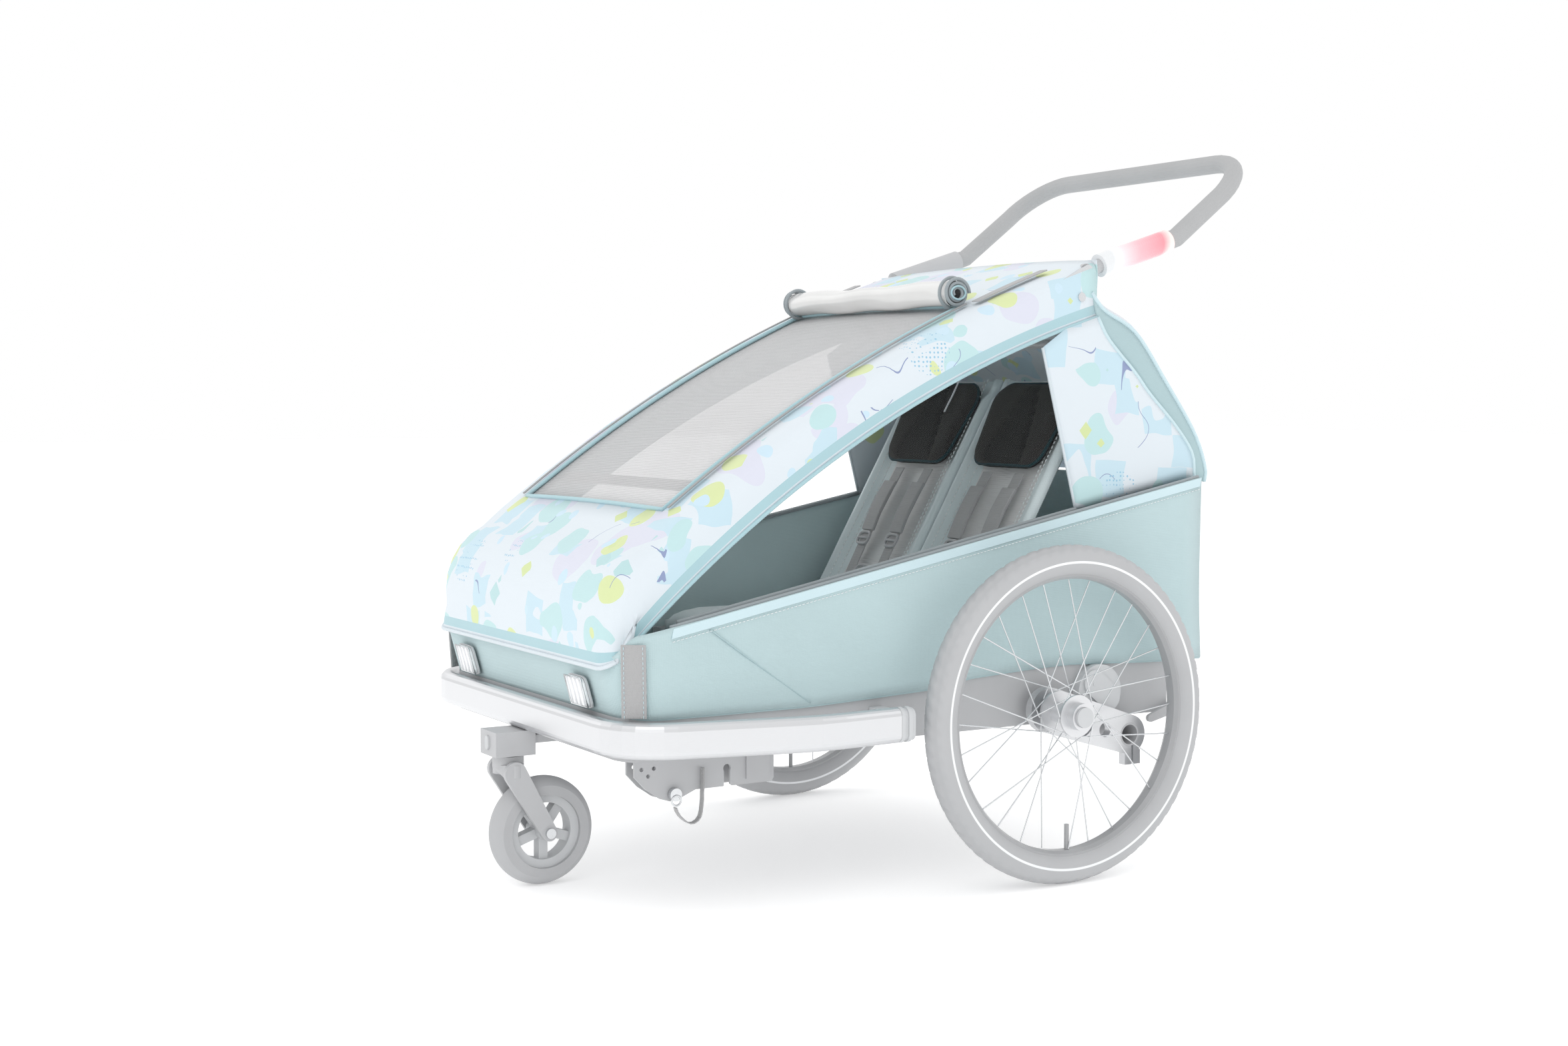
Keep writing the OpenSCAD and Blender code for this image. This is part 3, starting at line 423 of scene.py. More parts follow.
def printed(name, base):
    """Pale cloth printed with plain blobs, dots and short strokes."""
    n = Nodes(name)
    colour = rgba(base)
    # Each layer: blobs per metre, size, waviness, share left out, kind and ink
    layers = ((10.0, 0.44, 0.05, 0.4, "EUCLIDEAN", (211, 213, 226)),
              (13.0, 0.36, 0.03, 0.42, "CHEBYCHEV", (192, 216, 227)),
              (12.0, 0.4, 0.05, 0.42, "EUCLIDEAN", (186, 216, 218)),
              (15.0, 0.32, 0.01, 0.55, "MANHATTAN", (180, 211, 213)),
              (14.0, 0.32, 0.03, 0.6, "EUCLIDEAN", (209, 220, 166)),
              (17.0, 0.3, 0.01, 0.62, "MANHATTAN", (204, 217, 160)),
              (21.0, 0.25, 0.02, 0.6, "EUCLIDEAN", (196, 219, 232)))
    for k, (scale, size, lift, left_out, metric, ink) in enumerate(layers):
        mask, value = blobs(n, scale, size, lift, 1.7 * k + 0.4, metric)
        shown = n.math("MULTIPLY", mask, n.math("GREATER_THAN", value, left_out))
        colour = n.blend(shown, colour, rgba(ink))
    # Short wavy strokes: thin level lines of a noise, kept only inside a few blobs
    level = n.math("ABSOLUTE", n.math("SUBTRACT", n.noise(17.0, 0.0), 0.5))
    line = n.math("LESS_THAN", level, 0.006)
    where, value = blobs(n, 12.0, 0.34, 0.0, 9.1)
    stroke = n.math("MULTIPLY", n.math("MULTIPLY", line, where), n.math("GREATER_THAN", value, 0.55))
    colour = n.blend(stroke, colour, rgba((140, 152, 186)))
    # Patches of small dots
    dots = n.add("TexVoronoi", {"Vector": n.place, "Scale": 150.0, "Randomness": 0.25})
    dot = n.math("LESS_THAN", dots.outputs["Distance"], 0.26)
    patch, value = blobs(n, 8.0, 0.3, 0.0, 5.3)
    shown = n.math("MULTIPLY", n.math("MULTIPLY", dot, patch), n.math("GREATER_THAN", value, 0.65))
    colour = n.blend(shown, colour, rgba((150, 192, 214)))
    n.set(Base_Color=colour, Roughness=0.8, Sheen_Weight=0.15)
    folds = n.math("MULTIPLY", n.noise(16.0), 3.0)
    n.bump(n.math("ADD", n.math("MULTIPLY", weave(n, 0.0011), 0.2), folds), 0.2)
    return n.mat


def see_through(name, colour, share, rough=0.15, threads=None):
    """Clear film, or a mesh where threads is the hole pitch."""
    n = Nodes(name)
    alpha = share
    if threads:
        hole = n.math("GREATER_THAN", weave(n, threads), 0.35)
        alpha = n.math("ADD", n.math("MULTIPLY", hole, 0.25), share - 0.12)
    n.set(Base_Color=n.blend(n.noise(7.0), rgba(colour, 0.95), rgba(colour, 1.05)), Alpha=alpha,
          Roughness=rough)
    n.bump(n.noise(11.0, 2.0), 0.25, 0.002)
    return n.mat


def lamp_material():
    """White light near the hinge, red glow towards the grip."""
    n = Nodes("lamp")
    y = n.add("SeparateXYZ", {0: n.place}).outputs[1]
    lo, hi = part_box("bar_lamp")[0][1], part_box("bar_lamp")[1][1]
    t = n.add("MapRange", {0: y, 1: lo, 2: hi}).outputs[0]
    ramp = n.add("ValToRGB", {0: t})
    stops = ramp.color_ramp.elements
    stops[0].position, stops[0].color = 0.14, rgba((206, 208, 210))
    stops[1].position, stops[1].color = 0.5, rgba((250, 170, 178))
    for p, c in ((0.2, (226, 226, 228)), (0.3, (240, 206, 210)), (0.82, (250, 138, 148)),
                 (0.92, (250, 214, 210))):
        e = stops.new(p)
        e.color = rgba(c)
    ribs = n.math("SINE", n.math("MULTIPLY", y, 1500.0))
    n.set(Base_Color=ramp.outputs[0], Roughness=0.2, Emission_Color=ramp.outputs[0], Emission_Strength=0.25,
          Coat_Weight=0.5)
    n.bump(ribs, 0.1)
    return n.mat


M = {
    "teal": cloth("tub_cloth", (184, 206, 209), 0.0014, 0.4),
    "teal_deep": cloth("tub_cloth_deep", (168, 192, 196), 0.0014),
    "binding": cloth("binding", (198, 220, 226), 0.001, 0.15),
    "stripe": cloth("stripe", (166, 198, 205), 0.001, 0.15),
    "print": printed("printed_cloth", (214, 222, 228)),
    "hem": cloth("hood_hem", (210, 219, 225), 0.001),
    "lining": cloth("lining", (208, 230, 232), 0.0014),
    "webbing": cloth("webbing", (168, 168, 169), 0.0022, 0.4),
    "piping": cloth("grey_piping", (150, 158, 162), 0.001),
    "zip": plastic("zip_teeth", (150, 151, 152), 0.5, 700.0, 0.8),
    "mesh": cloth("seat_mesh", (226, 227, 227), 0.003, 0.5),
    "seat": cloth("seat_cloth", (222, 234, 236), 0.0014),
    "seat_light": cloth("seat_piping", (240, 246, 247), 0.001),
    "black": cloth("headrest_cloth", (22, 21, 21), 0.0016, 0.4, 0.25, sheen=0.0),
    "black_mesh": cloth("headrest_mesh", (42, 40, 39), 0.0018, 0.45, 0.2, sheen=0.0),
    "black_piping": cloth("headrest_piping", (20, 56, 62), 0.001, sheen=0.0),
    "film": see_through("window_film", (225, 232, 235), 0.006),
    "screen": see_through("screen_mesh", (206, 206, 207), 0.66, 0.7, 0.0022),
    "cover": plastic("rolled_film", (214, 214, 213), 0.22, 45.0, 0.9, 0.6),
    "cord": cloth("cord", (238, 240, 244), 0.001),
    "tyre": plastic("tyre_rubber", (178, 179, 181), 0.75, 500.0, 0.3),
    "reflex": plastic("tyre_stripe", (236, 238, 240), 0.35),
    "frame": plastic("frame_paint", (184, 185, 187), 0.45, 1200.0, 0.05, 0.2),
    "plastic": plastic("dark_plastic", (184, 185, 187), 0.55),
    "plastic_light": plastic("grey_plastic", (196, 198, 200), 0.5),
    "foam": plastic("foam_grip", (172, 173, 174), 0.9, 700.0, 0.5),
    "alloy": metal("brushed_alloy", (214, 215, 217), 0.32),
    "steel": metal("steel", (214, 216, 218), 0.25),
    "rim": plastic("rim_paint", (162, 163, 165), 0.4, 1200.0, 0.04, 0.3),
    "rubber": plastic("elastomer", (205, 207, 209), 0.6),
    "clear": plastic("reflector_lens", (236, 238, 240), 0.15, 260.0, 0.5, 0.8),
    "lamp": lamp_material(),
}


def paint(look, *nodes):
    """A CAD node keeps its shape and gets a material."""
    for name in nodes:
        obj = frame["nodes"][name]
        for s in obj.material_slots:
            s.material = M[look]


# Camera ----------------------------------------------------------------------

def camera():
    """The camera stands to the trailer's left front, level with the hood, and looks down by two degrees."""
    data = bpy.data.cameras.new("camera")
    cam = bpy.data.objects.new("camera", data)
    bpy.context.scene.collection.objects.link(cam)
    azimuth, down = math.radians(59.13), math.radians(2.17)
    back = Vector((math.sin(azimuth) * math.cos(down), -math.cos(azimuth) * math.cos(down), math.sin(down)))
    cam.location = at(2.7802, -1.9071, 0.7184)
    cam.rotation_mode = "QUATERNION"
    cam.rotation_quaternion = (-back).to_track_quat("-Z", "Y")
    data.sensor_width = 36
    data.lens = 47.45
    data.shift_x = -0.0015
    data.shift_y = -0.0314
    data.clip_end = 50
    bpy.context.scene.camera = cam


camera()

# Cords -----------------------------------------------------------------------

# Routes as (y, z) in millimetres
STRAP_X = 0.2696
STRAP_WIDTH = 0.0098
STRAP_ROUTE = [(-585, 150), (-583, 144), (-579, 138), (-574, 133), (-569, 129), (-563, 126), (-557, 126),
               (-551, 129), (-547, 134), (-545, 141), (-544, 149), (-543, 158), (-543, 167), (-542, 176),
               (-542, 185), (-542, 194), (-542, 202)]


def hitch_strap():
    pts = [at(STRAP_X, y / 1000, z / 1000) for y, z in STRAP_ROUTE]
    obj = ribbon("hitch_strap_web", pts, ACROSS, STRAP_WIDTH, 0.002, "webbing", replaces=["hitch_strap"])
    length_of(pts)


hitch_strap()

TIE_X = -0.075
TIE_R = 0.0015
TIE_ROUTE = [(110, 691), (127, 719), (143, 748), (147, 775), (136.2, 792)]


def tie_cord():
    pts = [at(TIE_X, y / 1000, z / 1000) for y, z in TIE_ROUTE]
    obj = tube("tie_cord_line", pts, TIE_R, "cord", fold=FLAT, replaces=["tie_cord"])
    length_of(pts)


tie_cord()

# Tub -------------------------------------------------------------------------

CORNER = 0.058


def plan_route(n_side=26, n_corner=8, n_front=16):
    """The tub's outline seen from above, from the rear of the left side round the front to the right."""
    pts = [(HALF, mix(0.322, FRONT + CORNER, i / n_side)) for i in range(n_side)]
    for i in range(n_corner):
        a = math.pi / 2 * i / n_corner
        pts.append((HALF - CORNER + CORNER * math.cos(a), FRONT + CORNER - CORNER * math.sin(a)))
    flat = HALF - CORNER
    pts += [(mix(flat, 0, i / n_front), FRONT) for i in range(n_front)]
    return pts + [(-x, y) for x, y in reversed(pts)]


def tub():
    """The teal side and front walls in one cloth, with a lean at the front and shallow folds."""
    lean_zone, dip_zone, dip_z = 0.12, 0.03, 0.36
    rows = []
    for x, y in plan_route():
        front_share = max(0.0, min(1.0, (FRONT + lean_zone - y) / lean_zone))
        top = mix(dip_z, height(BELT, y), max(0, min(1, (y - FRONT) / dip_zone)))
        low = height(HEM, y)
        row = []
        for t in steps(0, 1, 12):
            z = mix(low, top, t)
            lean = front_share * mix(0.016, -0.012, (z - HEM[0][1]) / 0.1)
            wave = math.sin(math.pi * t)
            fold = 0.0015 * wave * math.sin(9 * y + 4 * t) + 0.001 * wave * math.sin(31 * y + 7 * t)
            inward = -0.003 * wave * (1 - front_share)
            s = 1 if x > 0 else -1
            row.append(at(x + s * (fold + inward) * (1 - front_share), y + lean, z))
        rows.append(row)
    hang("tub_walls", rows, ["teal"], "base", 0.0035, 1,
         replaces=["tub_front", "tub_left", "tub_right"], lined=True)
    tube("tub_hem", [r[0] for r in rows], 0.0028, "teal_deep")


tub()


def belt_trim():
    """The light band along the belt, with piping above it and stitches below, and a seam down the side."""
    width = 0.014
    for s, name in SIDES:
        ys = steps(FRONT + 0.075, 0.32, 40)
        band = [at(s * (HALF + 0.0038), y, height(BELT, y) - width / 2) for y in ys]
        ribbon(f"belt_band_{name}", band, (0, 0.23, 1), width, 0.0016, "binding")
        pipe = [at(s * (HALF - 0.003), y, height(BELT, y) + 0.001) for y in ys]
        tube(f"belt_piping_{name}", pipe, 0.003, "piping")
        row = [at(s * (HALF + 0.0036), y, height(BELT, y) - width - 0.004) for y in ys]
        stitches(f"belt_stitches_{name}", row, Vector((s, 0, 0)), "seat_light")
        y0, y1 = -0.56, -0.40
        top, low = height(BELT, y0) - 0.016, height(HEM, y1) + 0.004
        seam = [at(s * (HALF + 0.0035 - 0.003 * math.sin(math.pi * t)), mix(y0, y1, t), mix(top, low, t))
                for t in steps(0, 1, 16)]
        tube(f"side_seam_{name}", seam, 0.0012, "teal_deep", sides=6)


belt_trim()


def rear_wall():
    """The tub's rear wall, which follows the side walls' rear edge."""
    x = HALF - 0.004
    rows = [[at(mix(x, -x, t), p.x - 0.0035 + 0.003 * math.sin(math.pi * t), p.y) for t in steps(0, 1, 20)]
            for p in smooth(REAR, 18)]
    hang("tub_rear_wall", rows, ["teal"], "base", 0.0025, 0, FLAT, ["tub_rear"], lined=True)


rear_wall()

# Hood ------------------------------------------------------------------------

nose = arc((NOSE_LOW[0], NOSE_LOW[1] + 0.04), SLOPE, 0.024, 6)
roof = arc(SLOPE, ROOF_END, 0.04, 24)
low_line = arc(EDGE[0], EDGE[1], 0.058, 48)
HOOD_CROWN = 0.006
top_line = [Vector(NOSE_LOW)] + nose + roof[1:]


def hood_stations():
    """Shares of the top line, fine at the nose, and the two where the screen begins and ends."""
    total = length_of(top_line)
    to_roof = length_of([Vector(NOSE_LOW)] + nose)
    roof_len = total - to_roof
    start, end = (to_roof + roof_len * share / 12 for share in (1, 9))
    stops = [0.0, 0.007, 0.021] + steps(0.04, to_roof, 6) + [mix(to_roof, start, 0.5)]
    stops += steps(start, end, 16) + steps(end, total, 8)[1:]
    return [s / total for s in stops], start / total, end / total


def hood_point(t, x):
    """A point of the hood's top at share t of its length and x from its middle, where it is crowned."""
    q = along(top_line, t + 0.01) - along(top_line, t - 0.01)
    out = Vector((-q.y, q.x)).normalized()
    return along(top_line, t) + out * (HOOD_CROWN * (1 - (x / HOOD) ** 2) * min(1, t * 6))


def hood_section(t):
    """Half a section, from the lower edge on the left to the middle, as (x, point) pairs."""
    top = hood_point(t, HOOD)
    down = along(low_line, t ** 1.02) - top
    depth = down.length
    down = down.normalized()
    r = min(mix(0.055, 0.022, min(1, t * 5)), 0.9 * depth)
    hem = min(1, depth / 0.06)
    pts = [(HOOD, top + down * (depth - d * hem)) for d in (0.0, 0.006, 0.020)]
    for k in range(1, 5):
        pts.append((HOOD + 0.003 * math.sin(math.pi * k / 5) * min(1, depth / 0.2),
                    top + down * mix(depth - 0.02 * hem, r, k / 5)))
    for a in steps(0, math.pi / 2, 5):
        pts.append((HOOD - r + r * math.cos(a), top + down * r * (1 - math.sin(a))))
    return pts + [(x, hood_point(t, x)) for x in (0.232, 0.18, 0.12, 0.06, 0.0) if x < HOOD - r - 0.004]


def hood():
    """The hood's cloth, with its rear flap, the screen in its opening, and their trim."""
    stations, start, end = hood_stations()
    sections = [hood_section(t) for t in stations]
    n = min(len(s) for s in sections)
    rows = []
    for s in sections:
        left = [at(x, p.x, p.y) for x, p in s[:n - 1] + s[-1:]]
        rows.append(left + [Vector((-v.x, v.y, v.z)) for v in reversed(left[:-1])])
    # The screen fills the rows first to last and the columns a to b, whose corners are 5 from the middle
    first, last = (next(i for i, t in enumerate(stations) if t >= stop - 1e-6) for stop in (start, end))
    columns = len(rows[0])
    a, b = n - 5, columns - 1 - (n - 5)

    def pick(i, j):
        side = min(j, columns - 2 - j)
        if side == 0 or i == 0:
            return 1
        return 2 if side == 1 or i == 1 else 0

    obj = sheet_mesh("hood_cloth", rows, "print", "hem", "stripe", pick=pick,
                     keep=lambda i, j: not (a <= j < b and first <= i < last))
    thick(obj, 0.0025, 1)
    line_inside(obj)
    place(obj, "front_frame", replaces=["canopy"])
    # The flap that hangs from the rear edge over the back cloth
    x = HOOD - 0.004
    flap = [[at(mix(x, -x, j / 24), ROOF_END[0] + 0.003 + 0.0015 * math.sin(math.pi * k / 6),
                mix(ROOF_END[1] + 0.0005, BACK[0][1] - 0.008, k / 6)) for j in range(25)] for k in range(7)]
    hang("hood_rear_flap", flap, ["print", "stripe"], "front_frame", 0.002, 0,
         pick=lambda i, j: 1 if i == 5 else 0)
    hole = [[p - Vector((0, 0, 0.003)) for p in row[a:b + 1]] for row in rows[first:last + 1]]
    hang("front_screen_net", hole, ["screen"], "front_frame", 0.0012, 1,
         replaces=["front_screen"])
    around = [row[a] for row in rows[first:last + 1]] + rows[last][a + 1:b + 1]
    around += [rows[i][b] for i in range(last - 1, first - 1, -1)]
    around += [rows[first][j] for j in range(b - 1, a, -1)]
    tube("screen_binding", [p + Vector((0, 0, 0.001)) for p in around], 0.0035, "stripe", "front_frame",
         closed=True)
    for s, name in SIDES:
        zip_line = [at(s * (SCREEN_HALF + 0.009), *hood_point(t, SCREEN_HALF)) + Vector((0, 0, 0.0045))
                    for t in steps(start, end, 30)]
        ribbon(f"screen_zip_{name}", zip_line, ACROSS, 0.006, 0.002, "zip", "front_frame")
    for s, name in SIDES:
        line = [Vector((s * (r[0].x + 0.001), r[0].y, r[0].z)) for r in rows[1:]]
        tube(f"hood_edge_{name}", line, 0.0028, "stripe", "front_frame")
    tube("hood_front_edge", rows[0], 0.003, "hem", "front_frame")


hood()

# Windows and rear cloth ------------------------------------------------------

WINDOW_X = HOOD + 0.0035


def windows():
    """Clear side windows between the belt and the hood's edge."""
    for s, name in SIDES:
        rows = []
        for t in steps(0, 1, 32):
            hi = along(low_line, mix(0.05, 0.885, t)) + Vector((0, 0.003))
            y_low = mix(-0.60, SPLIT[0][0], t)
            lo = Vector((y_low, height(BELT, y_low) + 0.002))
            rows.append([at(s * (WINDOW_X - 0.0015 * math.sin(math.pi * k)), *lo.lerp(hi, k))
                         for k in steps(0, 1, 8)])
        hang(f"window_{name}", rows, ["film"], "base", 0.0008, 0, FOLD, ["side_windows"])
        tube(f"window_sill_{name}", [r[0] for r in rows], 0.0035, "piping", fold=FOLD)


def coons(a, b, c, d, n, m):
    """A patch between bottom a, top b, front c and rear d, each a list of 2-D points, c and d going up."""
    rows = []
    for u in steps(0, 1, n):
        pa, pb = along(a, u), along(b, u)
        row = []
        for v in steps(0, 1, m):
            pc, pd = along(c, v), along(d, v)
            ruled = mix(pa, pb, v) + mix(pc, pd, u)
            corners = mix(mix(Vector(a[0]), Vector(a[-1]), u), mix(Vector(b[0]), Vector(b[-1]), u), v)
            row.append(ruled - corners)
        rows.append(row)
    return rows


def quarters():
    """Printed cloth behind the windows."""
    low, high = Vector(SPLIT[0]), Vector(SPLIT[1])
    top = [high, along(low_line, 0.93), Vector(EDGE[1])]
    rear = smooth(QUARTER_REAR, 24)
    rear[-1] = Vector(EDGE[1])
    patch = coons([low, Vector(BELT[1])], top, [low, high], rear, 18, 18)
    for s, name in SIDES:
        rows = [[at(s * (WINDOW_X + 0.003 * math.sin(math.pi * i / 18) * math.sin(math.pi * j / 18)), *p)
                 for j, p in enumerate(row)] for i, row in enumerate(patch)]
        hang(f"rear_quarter_{name}", rows, ["print"], "base", 0.002, 0, FOLD, ["rear_quarters"])
        tube(f"quarter_binding_{name}", [at(s * WINDOW_X, *p) for p in rear], 0.003, "binding", fold=FOLD)
        front = [at(s * WINDOW_X, *low.lerp(high, t)) for t in steps(0, 1, 12)]
        tube(f"quarter_hem_{name}", front, 0.0022, "hem", fold=FOLD)


def back_cloth():
    """The cloth over the rear legs, with a narrow gusset and a binding at each side."""
    line = smooth(BACK, 26)
    x = HOOD + 0.001
    rows = []
    for p in line:
        row = []
        for u in steps(1, -1, 24):
            inset = 0.018 * max(0, (abs(u) - 0.88) / 0.12) ** 2
            row.append(at(x * u, p.x - inset + 0.004 * (1 - u * u), p.y - inset * 0.6))
        rows.append(row)
    hang("back_cloth", rows, ["print"], "base", 0.002, 1, FLAT, ["back_panel"])
    inner = smooth(list(reversed(QUARTER_REAR)), 26)
    for s, name in SIDES:
        rows = [[at(s * (x - 0.001), *(p - Vector((0.018, 0.011))).lerp(q, t)) for t in steps(0, 1, 4)]
                for p, q in zip(line, inner)]
        hang(f"back_gusset_{name}", rows, ["teal_deep"], "base", 0.002, 0, FLAT)
        edge = [at(s * (x - 0.0005), p.x - 0.0175, p.y - 0.0105) for p in line]
        tube(f"back_binding_{name}", edge, 0.0032, "binding", fold=FLAT)


windows()
quarters()
back_cloth()

# Rolled cover ----------------------------------------------------------------

def rolled_cover():
    """The rain cover rolled up on the roof, with its spiral ends, bands, loops and straps."""
    low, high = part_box("rain_cover")
    y, z = (low[1] + high[1]) / 2, (low[2] + high[2]) / 2
    half, r = high[0], (high[2] - low[2]) / 2 - 0.003
    rows = []
    for x in steps(-half, half, 40):
        row = []
        for a in steps(0, 2 * math.pi, 28):
            dent = 0.0016 * math.sin(3 * a + 9 * x) + 0.0012 * math.sin(40 * x + a)
            row.append(Vector((x, y + (r + dent) * math.cos(a), z + (r + dent) * math.sin(a))))
        rows.append(row)
    roll = sheet_mesh("cover_roll", rows, "cover")
    place(roll, "front_frame", replaces=["rain_cover"])
    turns, strap_x = 2.6, 0.262
    for s, name in SIDES:
        spiral = []
        for t in steps(0, 1, 89):
            a, rr = 2 * math.pi * turns * t, mix(0.023, 0.006, t)
            spiral.append(Vector((s * (half + 0.004), y + rr * math.cos(a), z + rr * math.sin(a))))
        tube(f"cover_spiral_{name}", spiral, 0.0027, "piping", "front_frame",
             replaces=["cover_caps"] if s > 0 else [])
        band = [Vector((s * (half - 0.008), *p)) for p in ring((y, z), 0.047, 0.047, 36)]
        tube(f"cover_band_{name}", band, 0.0028, "piping", "front_frame", closed=True)
        loop = [Vector((s * (half + 0.008), *p)) for p in ring((y, z), 0.026, 0.020, 20)]
        tube(f"cover_loop_{name}", loop, 0.0016, "stripe", "front_frame", closed=True)
        strap = [at(s * strap_x, *hood_point(t, strap_x)) + Vector((0, 0, 0.006))
                 for t in steps(0.80, 0.93, 10)]
        ribbon(f"cover_strap_{name}", strap, ACROSS, 0.018, 0.002, "webbing", "front_frame")


rolled_cover()

# Seats -----------------------------------------------------------------------

UP = Vector((0, math.cos(SEAT_SLOPE), math.sin(SEAT_SLOPE)))
OUT = Vector((0, -math.sin(SEAT_SLOPE), math.cos(SEAT_SLOPE)))
FOOT = at(0, *SEAT_FOOT)
BACK_LEN = 0.43
MESH_CELLS = range(6, 26)


def on_back(x, up, out):
    """A place on the seat back: up its slope from the foot, and out of its plane towards the front."""
    return FOOT + Vector((x, 0, 0)) + UP * up + OUT * out


def seat_back(s, name):
    """A padded back: a mesh centre between two raised bolsters, each with double stitching."""
    x0, x1 = s * SEAT_GAP, s * (SEAT_GAP + SEAT_W)
    rows = []
    for i in range(31):
        up = BACK_LEN * i / 30
        row = []
        for u in steps(0, 1, 32):
            side = min(u, 1 - u) * SEAT_W
            bolster = 0.017 * math.exp(-((side - 0.012) / 0.011) ** 2) * (1 if up < BACK_LEN - 0.03 else 0.5)
            hollow = -0.006 * math.sin(math.pi * u) ** 2 * math.sin(math.pi * i / 30)
            fold = 0.0012 * math.sin(60 * up + 14 * u) * math.sin(math.pi * u)
            row.append(on_back(mix(x0, x1, u), up, -0.006 + bolster + hollow + fold))
        rows.append(row)
    obj = sheet_mesh(f"seat_back_{name}", rows, "seat", "mesh", pick=lambda i, j: int(j in MESH_CELLS))
    thick(obj, 0.013, -1 if s > 0 else 1)
    place(obj, "base", FOLD, ["seat_backs"])
    for k, (u, out) in enumerate(((0.11, 0.0062), (0.17, 0.001), (0.83, 0.001), (0.89, 0.0062))):
        line = [on_back(mix(x0, x1, u), up, out) for up in steps(0, BACK_LEN, 30)]
        stitches(f"seat_stitch_{name}_{k}", line, OUT, "seat_light", fold=FOLD, length=0.005, space=0.003,
                 radius=0.0008)


def seat_cushion(s, name):
    """A crowned cushion with four sewn channels across it."""
    low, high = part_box("seat_cushions")
    x0, x1 = s * 0.004, s * (high[0] - 0.001)
    rows = []
    for v in steps(0, 1, 26):
        row = []
        for u in steps(0, 1, 26):
            edge = min(min(u, 1 - u) * 5, 1)
            end = min(min(v, 1 - v) * 6, 1)
            crown = math.sqrt(max(0, 1 - (1 - edge) ** 2)) * math.sqrt(max(0, 1 - (1 - end) ** 2))
            channel = -0.0035 * math.exp(-((v * 4 % 1 - 0.5) / 0.05) ** 2) * edge
            row.append(Vector((mix(x0, x1, u), mix(low[1], high[1], v),
                               mix(low[2] + 0.018, high[2] - 0.002, crown) + channel)))
        rows.append(row)
    top = sheet_mesh(f"seat_cushion_{name}", rows, "seat")
    mesh = bmesh.new()
    mesh.from_mesh(top.data)
    rim = [e for e in mesh.edges if e.is_boundary]
    new = bmesh.ops.extrude_edge_only(mesh, edges=rim)["geom"]
    for v in (g for g in new if isinstance(g, bmesh.types.BMVert)):
        v.co.z = low[2] + 0.001
    bmesh.ops.holes_fill(mesh, edges=[e for e in mesh.edges if e.is_boundary])
    bmesh.ops.recalc_face_normals(mesh, faces=mesh.faces)
    mesh.to_mesh(top.data)
    mesh.free()
    place(top, "base", replaces=["seat_cushions"])


def headrest(s, name):
    """A black pad with angled wings: an outline like a wide shield, piping and two stitched seams."""
    top_w, low_w, tall, t = 0.212, 0.168, 0.15, 0.026
    top_r, bottom = 0.044, 0.024
    cx = s * (SEAT_GAP + SEAT_W / 2)
    base_up = 0.265
    body = f"headrest_{name}"

    def width(v):
        half = mix(low_w, top_w, v) / 2
        y = v * tall
        if y < bottom:
            half -= bottom - math.sqrt(max(0, bottom ** 2 - (bottom - y) ** 2))
        if tall - y < top_r:
            half -= top_r - math.sqrt(max(0, top_r ** 2 - (top_r - (tall - y)) ** 2))
        return half

    n, m = 36, 40
    ups = [0.5 - 0.5 * math.cos(math.pi * i / n) for i in range(n + 1)]
    inner = [min(max(v, 0.004), 0.996) for v in ups]

    def seam_at(v):
        return mix(0.62, 0.10, v)

    def front(u, v):
        edge = min(1, (1 - abs(u)) * 4) * min(1, min(v, 1 - v) * 6 + 0.02)
        wing = 0.006 * max(0, abs(u) - 0.45)
        groove = 0.0028 * math.exp(-((abs(u) - seam_at(v)) / 0.028) ** 2) * edge
        return t * (0.45 + 0.5 * math.sqrt(max(0, 1 - (1 - edge) ** 2))) - 0.004 + wing - groove

    verts, faces = [], []
    for side in (0, 1):
        for v in inner:
            for j in range(m + 1):
                u = -math.cos(math.pi * j / m)
                out = front(u, v) if side == 0 else 0.001 + 0.004 * (1 - min(1, (1 - abs(u)) * 4))
                verts.append(on_back(cx + u * width(v), base_up + v * tall, out))
    w = m + 1
    count = (n + 1) * w
    for i in range(n):
        for j in range(m):
            a = i * w + j
            faces.append((a, a + 1, a + w + 1, a + w))
            faces.append((count + a, count + a + w, count + a + w + 1, count + a + 1))
    rim = list(range(w)) + [i * w + m for i in range(1, n + 1)]
    rim += [n * w + j for j in range(m - 1, -1, -1)] + [i * w for i in range(n - 1, 0, -1)]
    for a, b in zip(rim, rim[1:] + rim[:1]):
        faces.append((b, a, count + a, count + b))
    cells = n * m * 2

    def pick(k):
        if k >= cells or k % 2:
            return 0
        i, j = divmod(k // 2, m)
        return int(abs(math.cos(math.pi * (j + 0.5) / m)) > seam_at(ups[i]))

    pad = make(f"headrest_pad_{name}", verts, faces, "black", "black_mesh", pick=pick)
    place(pad, body, FOLD, [body])
    loop = [on_back(cx + width(v), base_up + v * tall, 0.011) for v in inner]
    loop += [on_back(cx - width(v), base_up + v * tall, 0.011) for v in reversed(inner)]
    tube(f"headrest_piping_{name}", loop, 0.0026, "black_piping", body, FOLD, closed=True)
    for k, e in enumerate((-1, 1)):
        line = [on_back(cx + e * seam_at(v) * width(v), base_up + v * tall, front(e * seam_at(v), v) + 0.0006)
                for v in steps(0.03, 0.95, 24)]
        stitches(f"headrest_stitch_{name}_{k}", line, OUT, "black", body=body, fold=FOLD, space=0.002)


